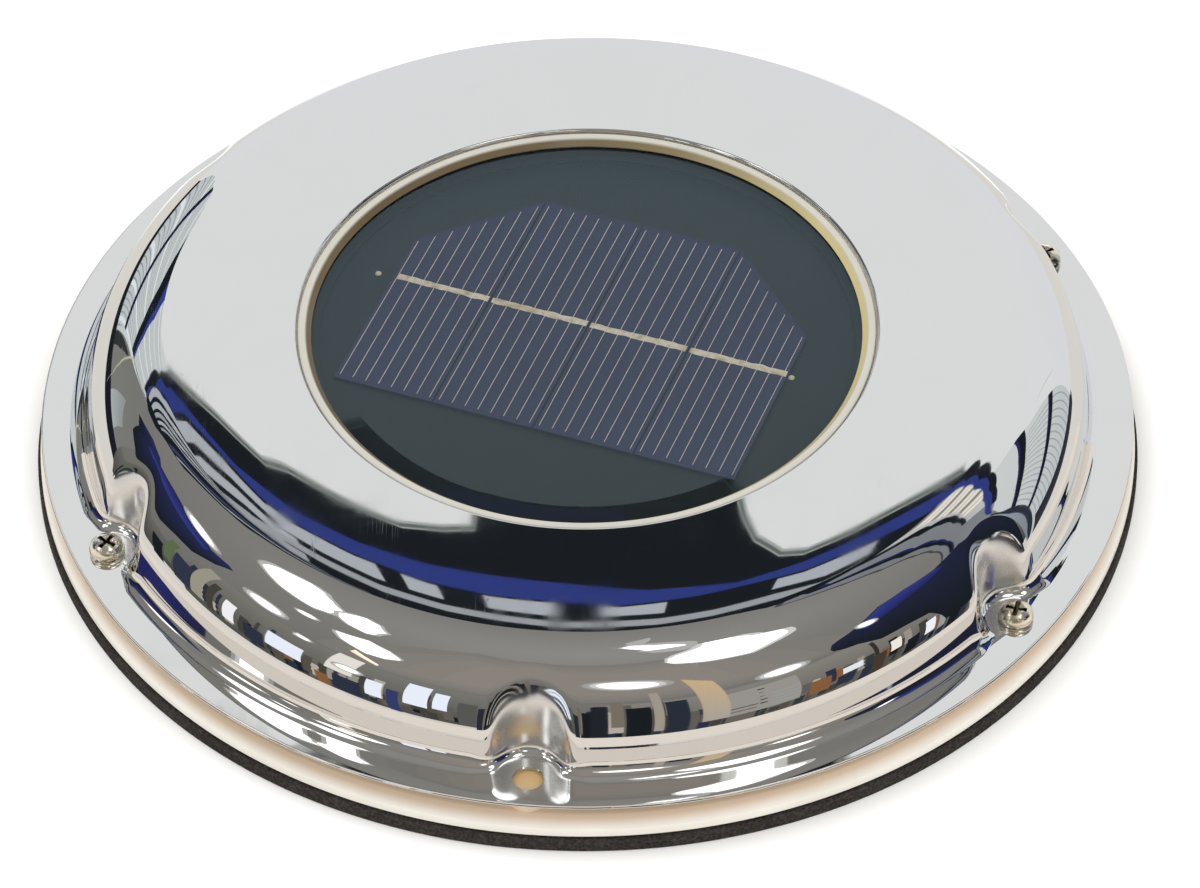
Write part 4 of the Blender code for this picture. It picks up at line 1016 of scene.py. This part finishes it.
def paint_card(studio):
    """The pale card behind the object, and the table that runs up to it."""
    card, low_card = (215, 217, 217), (213, 214, 219)
    side = [(-22, 2), (-20.7, 10), (-19.3, 18), (-17.6, 25), (-15, 31), (-12.6, 35.5), (-11.5, 37.5)]
    edge = side + CARD_TOP + [(46.5, 46), (47, 40), (50, 34), (51.5, 20), (52, 0)]
    studio.band([(a, -8, e) for a, e in edge], low_card, card)
    left = [(-130, -21), (-90, -19), (-75, -17), (-60, -9), (-45, -5), (-22, -1.5), (-18, -7)]
    right = [(50, -7), (52, -12), (64, -16), (75, -20), (90, -25), (135, -25), (160, -30), (180, -34)]
    studio.band([(a, -60, e) for a, e in left + right], TABLE, (212, 209, 203))
    studio.band([(-180, -60, -32), (-150, -60, -24), (-130, -60, -21)], TABLE)
    for scale, tone in ((1.0, (236, 236, 236)), (0.85, (248, 248, 248)), (0.7, (286, 286, 286))):
        tops = [(-17, -20), (-12, -6), (0, 1), (12, -6), (17, -20)]
        studio.band([(a * scale, -55, e) for a, e in tops], tone)


def paint_arc(studio):
    """The dark curve of the roof's edge over the card: black outside, blue inside, then pale panes."""
    outer = [(-36.9, 36.3), (-29.5, 39.3), (-16.7, 42.8)] + CARD_TOP + [(59.1, 41.6), (69.1, 36)]
    middle = [(-36.4, 37.4), (-25.1, 41.9), (-11.3, 43.8), (-10.8, 44.4), (-9.5, 46.2), (-8, 47.5)]
    middle += [(-6.2, 48.4), (-4.4, 48.9), (-0.8, 49.4), (1.6, 49.9), (4.3, 49.9), (6.2, 49.3)]
    middle += [(8.2, 48.4), (10.5, 47.2), (19.9, 49.3), (35.8, 49.6), (56.3, 44.7), (69.6, 37.5), (76, 33)]
    inner = [(-36.7, 38), (-18.4, 43.6), (-11, 44.6), (-10, 45.8), (-9.1, 47.2), (-8.4, 47.9), (-6.7, 48.9)]
    inner += [(-4.6, 49.8), (-2.9, 50.2), (0.9, 50.7), (3.2, 50.4), (6.4, 49.7), (9.2, 48.5), (10.2, 48)]
    inner += [(15, 49), (25.1, 50.4), (40.3, 50.2), (59.5, 45.1), (72, 38.5), (83, 30.7)]
    foot = [(-40.5, 40), (-36.4, 44), (-35.4, 47.5), (-27.2, 51.1), (-23, 53), (-14.7, 53), (-10.9, 53)]
    foot += [(-6.2, 53.4), (-2.9, 53), (2.3, 53.2), (6, 54), (11, 57.5)]
    panes = [(-9.9, 47.6), (-9, 48.2), (-7.9, 49), (-6.4, 49.9), (-4.5, 50.6), (-2.7, 51), (-0.9, 51.3)]
    panes += [(0.3, 51.3), (2.2, 51.2), (4, 50.9), (5.8, 50.4), (7.3, 50.1), (8.7, 49.3)]
    pale, grey = (166, 171, 177), (150, 153, 158)

    def part(share, first=-40, last=12):
        """The line at a share of the way from the inner line to the foot."""
        azimuths = [first] + [a for a, _ in sorted(inner + foot) if first < a < last] + [last]
        lows, highs = np.interp(azimuths, *zip(*inner)), np.interp(azimuths, *zip(*foot))
        return list(zip(azimuths, lows + (highs - lows) * share))

    studio.between(part(-0.1), part(1.0), NIGHT)
    slats = [(0.03, 0.11, pale), (0.16, 0.23, pale), (0.27, 0.33, grey), (0.37, 0.42, pale)]
    slats += [(0.46, 0.50, grey), (0.66, 0.76, (58, 62, 92)), (0.82, 0.88, grey)]
    for low, high, tone in slats:
        studio.between(part(low, -35, -8.6), part(high, -35, -8.6), tone)
    for first, last in ((-9, -6.1), (-5.4, -4.4), (-3.1, -1), (0.3, 2.3), (5.6, 8.6)):
        azimuths = [first] + [a for a, _ in inner if first < a < last] + [last]
        studio.between([(a, np.interp(a, *zip(*inner)) + 0.1) for a in azimuths], panes, pale)
    studio.between([(a, e + 0.28) for a, e in panes], [(a, e + 0.62) for a, e in panes], grey)
    studio.between(outer, middle, NIGHT)
    studio.between(middle, inner, (46, 58, 122))
    for reach, tone in ((0.22, (160, 164, 160)), (0.1, (92, 100, 98))):
        for edge in (CARD_TOP[:10], CARD_TOP[12:20]):
            studio.between([(a, e - reach) for a, e in edge], [(a, e + reach / 2) for a, e in edge], tone)


def bars(studio, first, last, step, bottom, top, tone, width=0.3):
    """Thin upright glazing bars between two lines of (azimuth, elevation) points."""
    azimuths = np.arange(first, last, step)
    lows, highs = np.interp(azimuths, *zip(*bottom)), np.interp(azimuths, *zip(*top))
    studio.row([(a, a + width, low, high, tone) for a, low, high in zip(azimuths, lows, highs)])


def paint_left_side(studio):
    """Tall windows with dark beams on the left, and the dark shape beyond them."""
    grey = (122, 122, 120)
    studio.band([(-62, -9, 32), (-52, -6, 36), (-41, -4, 40), (-30, -3, 50)], grey, (116, 116, 112))
    studio.band([(-58, -3, 12), (-54, -2, 16), (-51, -2, 20)], (172, 178, 178), (140, 146, 146))
    glass = [(-41.3, 0, 10), (-40, 0, 30), (-38.5, 0, 38), (-29, 0, 41), (-16, 0, 43.5), (-9, 0, 45)]
    studio.band(glass, PANE, PANE_HIGH)
    edge = [(-41, 1), (-8, 1)]
    upper = [(a, high - 0.5) for a, _, high in glass]
    bars(studio, -40.6, -10, 0.95, edge, upper, (140, 147, 148), 0.22)
    bars(studio, -39.9, -10, 5.1, edge, upper, (216, 224, 228), 0.7)
    studio.band([(-62, -9, -1), (-50, -6, 3), (-41, -4, 2.5), (-22, -1.5, 2.5), (-20, -1.5, 2.5)], NIGHT)
    studio.beam([(-40, 14), (-30, 19.1), (-21.3, 23.8), (-15, 29)], 2.2, NIGHT)
    studio.beam([(-40, 14.9), (-30, 20), (-21.3, 24.7), (-15, 29.8)], 0.8, NAVY)
    studio.beam([(-39, 26.6), (-30, 32.2), (-20, 36.8), (-10, 39.8)], 2.4, NIGHT)
    studio.beam([(-39, 27.8), (-30, 33.4), (-20, 38), (-10, 41)], 0.8, BLUE)
    studio.beam([(-42.6, 3), (-41.8, 16)], 0.1, NIGHT)
    studio.band([(-43.6, 2, 12), (-42.5, 2, 20), (-41.4, 2, 25)], (48, 52, 52))
    studio.beam([(-39.5, 27), (-38.5, 36), (-37.5, 40)], 2.6, (52, 54, 56))
    studio.beam([(-49, -3), (-48.3, 5), (-46, 13), (-42.7, 21), (-38.7, 29)], 0.9, (186, 186, 160))
    shape = [(-90, 29, 37), (-87.3, 20, 38.2), (-82.7, 17, 36), (-78.7, 12, 38), (-74.7, 14, 38.5)]
    shape += [(-68, 17, 39), (-61.3, 20, 39), (-56, 22.5, 37), (-52, 29, 38.5), (-48, 31, 37.5)]
    studio.band(shape, NIGHT, (40, 44, 84))
    studio.band([(-84, 31.5, 35), (-74, 32, 37.6), (-62, 33, 38), (-54, 33, 35.5)], BLUE, NAVY)


def paint_right_side(studio):
    """Windows, the curved roof lines over them, and the dark shape on the right."""
    roof = [(6, 49, 51), (15, 49, 60), (30, 49, 61.8), (45, 47, 61.4), (60, 41, 57.2), (72, 34, 51.8)]
    studio.band(roof + [(87, 30, 41.2)], (128, 132, 138), (118, 120, 124))
    lit = [(9, 47.5, 50.6), (20, 49.4, 53.6), (30, 50, 54.6), (42, 49, 53.7), (55, 45, 51), (66, 39, 46.8)]
    studio.band(lit, (196, 198, 198), (176, 178, 180))
    places, lows, highs = zip(*lit)
    for i, azimuth in enumerate(range(12, 60, 4)):
        tone = (238, 226, 206) if i % 3 else (120, 112, 104)
        low, high = np.interp(azimuth, places, lows) + 0.6, np.interp(azimuth, places, highs) - 0.8
        studio.band([(azimuth, low, high), (azimuth + 2.2, low - 0.1, high)], tone)
    line = [(6, 51.5), (15, 57), (30, 58.6), (45, 58.4), (60, 54.5), (70, 50), (83, 41)]
    studio.beam([(7.5, 51), (15, 53), (30, 55), (42, 54), (55, 51.5), (66, 47)], 1.1, NIGHT)
    studio.beam(line, 1.5, NIGHT)
    studio.beam([(a, e - 0.5) for a, e in line], 0.5, NAVY)
    line = [(7, 53), (15, 60), (30, 61.6), (45, 61.1), (60, 57), (72, 51.5), (87, 41)]
    studio.beam(line, 0.6, (70, 70, 74))
    glass = [(46, 38, 47), (50, -12, 45.6), (60, -14, 41.5), (73, -18, 34.5), (77.5, -20, 28)]
    studio.band(glass, PANE, PANE_HIGH)
    bars(studio, 53, 76, 1.5, [(50, -8), (77, -16)], [(50, 38), (60, 33), (76, 20)], (156, 158, 158))
    studio.beam([(47, 38.6), (60, 31.4), (70, 24.4), (78, 17.5)], 2.8, NIGHT)
    studio.beam([(47, 40.2), (60, 33), (70, 26), (78, 19)], 0.9, NAVY)
    studio.band([(51.5, 16, 20), (60, 12, 15.2), (70, 5.6, 8.4), (81, -1.2, 0.8)], NIGHT)
    studio.band([(51.5, 19, 20.3), (60, 14.6, 15.6), (70, 8, 8.8), (81, 0.4, 1.2)], NAVY)
    studio.band([(51, -12.5, -6.5), (64, -16.5, -9), (76, -21, -10)], (56, 56, 64), (40, 42, 50))
    studio.band([(77, -20, 33), (79, -20, 33)], (44, 48, 58))
    studio.band([(79, -20, 30), (82, -20, 32)], (120, 126, 134), (146, 154, 166))
    shape = [(80, 30, 41), (82, 10, 41), (90, -16, 41), (96, -16, 45.2), (104, -14, 46), (108, 6, 44)]
    shape += [(113, 10, 41), (119, 12, 37), (123, 20, 35), (125.5, 22, 33), (127.5, 25, 28)]
    studio.band(shape, NIGHT, (34, 38, 60))
    studio.band([(90, 37, 40.5), (96, 36, 45), (104, 36, 45.6), (112, 34, 41), (117, 31, 37)], NAVY, BLUE)
    studio.spot(114.5, 36.8, 3.6, 5.0)


def paint_camera_side(studio):
    """The room behind the camera: windows, posts, dark furniture and brown boxes near the horizon."""
    studio.box((-165, -90), (-22, 24), (74, 74, 72), (120, 118, 112))
    studio.box((96, 180), (-34, 22), (84, 80, 76), (132, 128, 122))
    glow, shade, brown = (232, 238, 250), (44, 50, 66), (132, 92, 58)
    dim = [shade, NIGHT, (66, 64, 60), (96, 92, 88), (52, 58, 60), (84, 78, 70)]
    mixed = dim + [(150, 144, 136), (178, 170, 158), brown]
    studio.clutter(-168, -106, -22, 2, dim, 3)
    studio.clutter(-150, -90, -16, 12, mixed, 5)
    studio.clutter(96, 154, -26, -2, dim, 8)
    studio.clutter(100, 150, -16, 6, mixed, 13)
    studio.clutter(154, 192, -33, 6, dim, 21)
    studio.clutter(156, 186, -20, 22, mixed, 34)
    panels = [(-152, -149, -6, 16, glow), (-148, -143, -8, 20, glow)]
    panels += [(-142, -139.5, -24, 4, (52, 60, 104)), (-138.5, -135, -12, 8, glow)]
    panels += [(-134, -128, -20, -2, shade), (-132, -126, 2, 26, (226, 222, 214))]
    panels += [(-127, -124, -22, -8, brown), (-121, -112.5, -8, 8, glow), (-112, -107, -16, -1, shade)]
    panels += [(-104.5, -101.5, -12, 8, (240, 240, 244)), (-99, -97, -16, 14, (66, 66, 58))]
    panels += [(-96, -92.5, -14, 22, (152, 148, 132)), (-92, -87, -16, 6, (48, 54, 72))]
    panels += [(-86.5, -84, -10, 12, (92, 106, 72)), (-83.5, -80, -17, -2, NIGHT)]
    panels += [(-119, -116, 20, 24, glow), (100, 103, -24, 2, NIGHT), (104, 106, -18, 8, (150, 154, 158))]
    panels += [(107, 109.5, -15, -2, (240, 242, 250)), (111, 114, -22, -8, NIGHT)]
    panels += [(115.5, 118, -10, 2, (236, 232, 222)), (119, 122, -24, -4, (70, 58, 48))]
    panels += [(120.8, 121.8, -4, 14, (52, 46, 44)), (124.5, 129, -8, -1, (228, 232, 236))]
    panels += [(126, 130, -20, -9, shade), (131.5, 136, -18, -2, brown)]
    panels += [(138, 144, -14, 4, (150, 152, 152)), (145, 146.5, -10, 15, (58, 58, 52))]
    panels += [(147, 153, -24, -4, (104, 98, 90)), (138, 153, -16, 16, (150, 147, 142))]
    panels += [(160.5, 165, -30, 20, (40, 46, 58)), (165.5, 167.5, -20, 34, (158, 150, 138))]
    panels += [(168, 173, -34, 16, NIGHT), (173.5, 176, -10, 26, (118, 110, 98))]
    panels += [(176.5, 180, -34, 20, (34, 36, 44)), (-180, -176, -30, 12, NIGHT)]
    panels += [(-175, -171, -20, 18, (110, 104, 92)), (-170, -160, -26, 6, (40, 44, 54))]
    panels += [(-159, -154, -22, 10, (86, 86, 84))]
    studio.row(panels)
    studio.band([(152.5, -16, 38), (158, -16, 47)], (166, 162, 154), (200, 172, 132))


def paint_lamps(studio):
    """Ceiling lamps and skylights."""
    lamp, glow = (313, 313, 313), (206, 206, 202)
    sky = [(70, 77, 79.4), (88, 74, 79.4), (93, 70, 79.2), (105, 66, 79), (120, 63, 78.4)]
    sky += [(131, 60, 77.4), (142, 64, 75), (149, 69, 71)]
    studio.band([(a, low - 1.4, high + 1) for a, low, high in sky], glow)
    studio.band(sky, lamp)
    studio.band([(8, 68, 74), (15, 76, 81), (62, 79.6, 85.4), (100, 80.6, 84)], (172, 172, 170))
    studio.band([(14, 78, 80.6), (25, 79, 82.6), (45, 79.8, 83.8), (62, 80.6, 84.4)], lamp)
    studio.band([(-134, 28, 30), (-126, 33, 36.5)], (255, 222, 186), (304, 276, 249))
    studio.spot(-130.5, 10.3, 5.0, 5.0)
    studio.spot(-105, 47, 5.0, 3.2)
    west = [(-94, 56, 59.3), (-90, 55.2, 61.5), (-82, 54.6, 64.9), (-65, 56.3, 65.2), (-51, 59.6, 64.3)]
    upper = [(-110.5, 58.6, 60.5), (-103, 58.8, 66), (-94, 61, 67.6), (-86, 63.3, 68.8), (-76, 68, 68.3)]
    lower = [(-134, 43.5, 44.5), (-132, 39.6, 46.5), (-128, 37.7, 49.5), (-119.4, 42, 52.4)]
    for panel in [west + [(-45, 62.3, 62.6)], upper, lower + [(-114.2, 46.9, 47.2)]]:
        middle = np.mean([a for a, _, _ in panel])
        halo = [(middle + (a - middle) * 1.07, low - 0.7, high + 0.6) for a, low, high in panel]
        studio.band(halo, (180, 180, 176))
        studio.band(panel, lamp)
    studio.spot(-74, 39.8, 12, 3.8, 0.8)
    studio.spot(-104, 31.8, 9, 6.4, 0.6)
    studio.spot(139, 26.2, 8.4, 7.0)
    studio.spot(171, 47, 15, 9, 1.5)
    studio.spot(-118, 22, 3.4, 2.6)


def make_lights():
    places = [((-0.9, 0.5, 1.6), 1.2, 9.0), ((1.0, -0.4, 1.3), 1.2, 5.0), ((0.0, -1.4, 0.9), 1.0, 4.0)]
    for place, size, power in places:
        data = bpy.data.lights.new("area", "AREA")
        data.shape = "DISK"
        data.size = size
        data.energy = power
        light = add_object("area", data)
        light.location = place
        light.rotation_euler = (-Vector(place)).to_track_quat("-Z", "Y").to_euler()
        light.visible_glossy = False


def make_camera():
    """A long lens at the viewing angle, with the small turns that centre the object as framed."""
    distance, elevation, lift = 1.14896, 43.79, 0.0105
    yaw, pitch, roll = -0.12, -0.39, -0.51
    orbit = Matrix.Rotation(math.radians(90 - elevation), 4, "X")
    place = orbit @ Vector((0, 0, distance)) + Vector((0, 0, lift))
    turn = orbit
    for angle, axis in ((yaw, "Y"), (pitch, "X"), (roll, "Z")):
        turn = turn @ Matrix.Rotation(math.radians(angle), 4, axis)
    data = bpy.data.cameras.new("camera")
    data.lens = 174.8
    data.sensor_width = 36.0
    data.clip_start = 0.01
    camera = add_object("camera", data)
    camera.matrix_world = Matrix.Translation(place) @ turn
    bpy.context.scene.camera = camera


# ------------ build

bpy.context.scene.view_settings.view_transform = "Standard"
cream = moulded("hidden_cream", srgb(246, 238, 222), srgb(240, 231, 212), 0.32)
white = moulded("white_plastic", srgb(238, 236, 228), srgb(230, 228, 220), 0.35)
black = moulded("black_plastic", srgb(34, 34, 36), srgb(26, 26, 28), 0.45, bump=0.3)
red = moulded("red_plastic", srgb(190, 36, 28), srgb(168, 28, 22), 0.42)
screw_finish = screw_steel()
drawn = steel("motor_steel", (0.46, 0.47, 0.48, 1), (0.36, 0.37, 0.38, 1), 0.25, 0.42, 700, (1, 1, 6))
bronze = steel("bronze", (0.66, 0.45, 0.24, 1), (0.52, 0.34, 0.17, 1), 0.3, 0.5)
spring_finish = steel("plated_spring", (0.76, 0.75, 0.72, 1), (0.62, 0.61, 0.58, 1), 0.15, 0.32)
ferrite = moulded("ferrite", srgb(78, 78, 82), srgb(58, 58, 62), 0.6, bump=0.5)

make_dome()
make_screws(screw_finish)
make_base(base_plastic())
make_gasket()
make_window(bezel_plastic(), backing())
make_fingers(moulded("silver_paste", srgb(255, 240, 222), srgb(246, 230, 210), 0.4))
make_ribbons(solder())
make_trim(white)
make_screen(steel("screen_steel", (0.56, 0.57, 0.58, 1), (0.42, 0.43, 0.44, 1), 0.3, 0.45))
dress(screw_finish, *[f"deck_screw_{i}" for i in range(1, 5)], "motor_screw_1", "motor_screw_2")
dress(screw_finish, "motor_shaft", "impeller_clip", "shutter_washer")
dress(cream, "panel_tray", "motor_mount")
dress(white, "shutter_grille", "shutter_disc", "shutter_knob")
dress(silicon(), *[f"cell_strip_{i}" for i in range(1, 5)])
dress(drawn, "motor_can", "motor_armature")
dress(black, "motor_end_cap", "impeller", "battery_holder", "battery_door", "switch_body")
dress(black, "blocking_diode", "panel_lead_black")
dress(bronze, "motor_bush_lower", "motor_bush_upper", "motor_commutator")
dress(ferrite, "motor_magnet_left", "motor_magnet_right")
dress(moulded("battery_sleeve", srgb(66, 132, 88), srgb(52, 112, 72), 0.3), "battery")
dress(spring_finish, "battery_spring", "battery_contact")
dress(red, "switch_slider", "panel_lead_red", "battery_lead_red", "switch_lead_red")
make_floor()
make_world()
make_studio()
make_lights()
make_camera()

bpy.context.view_layer.update()
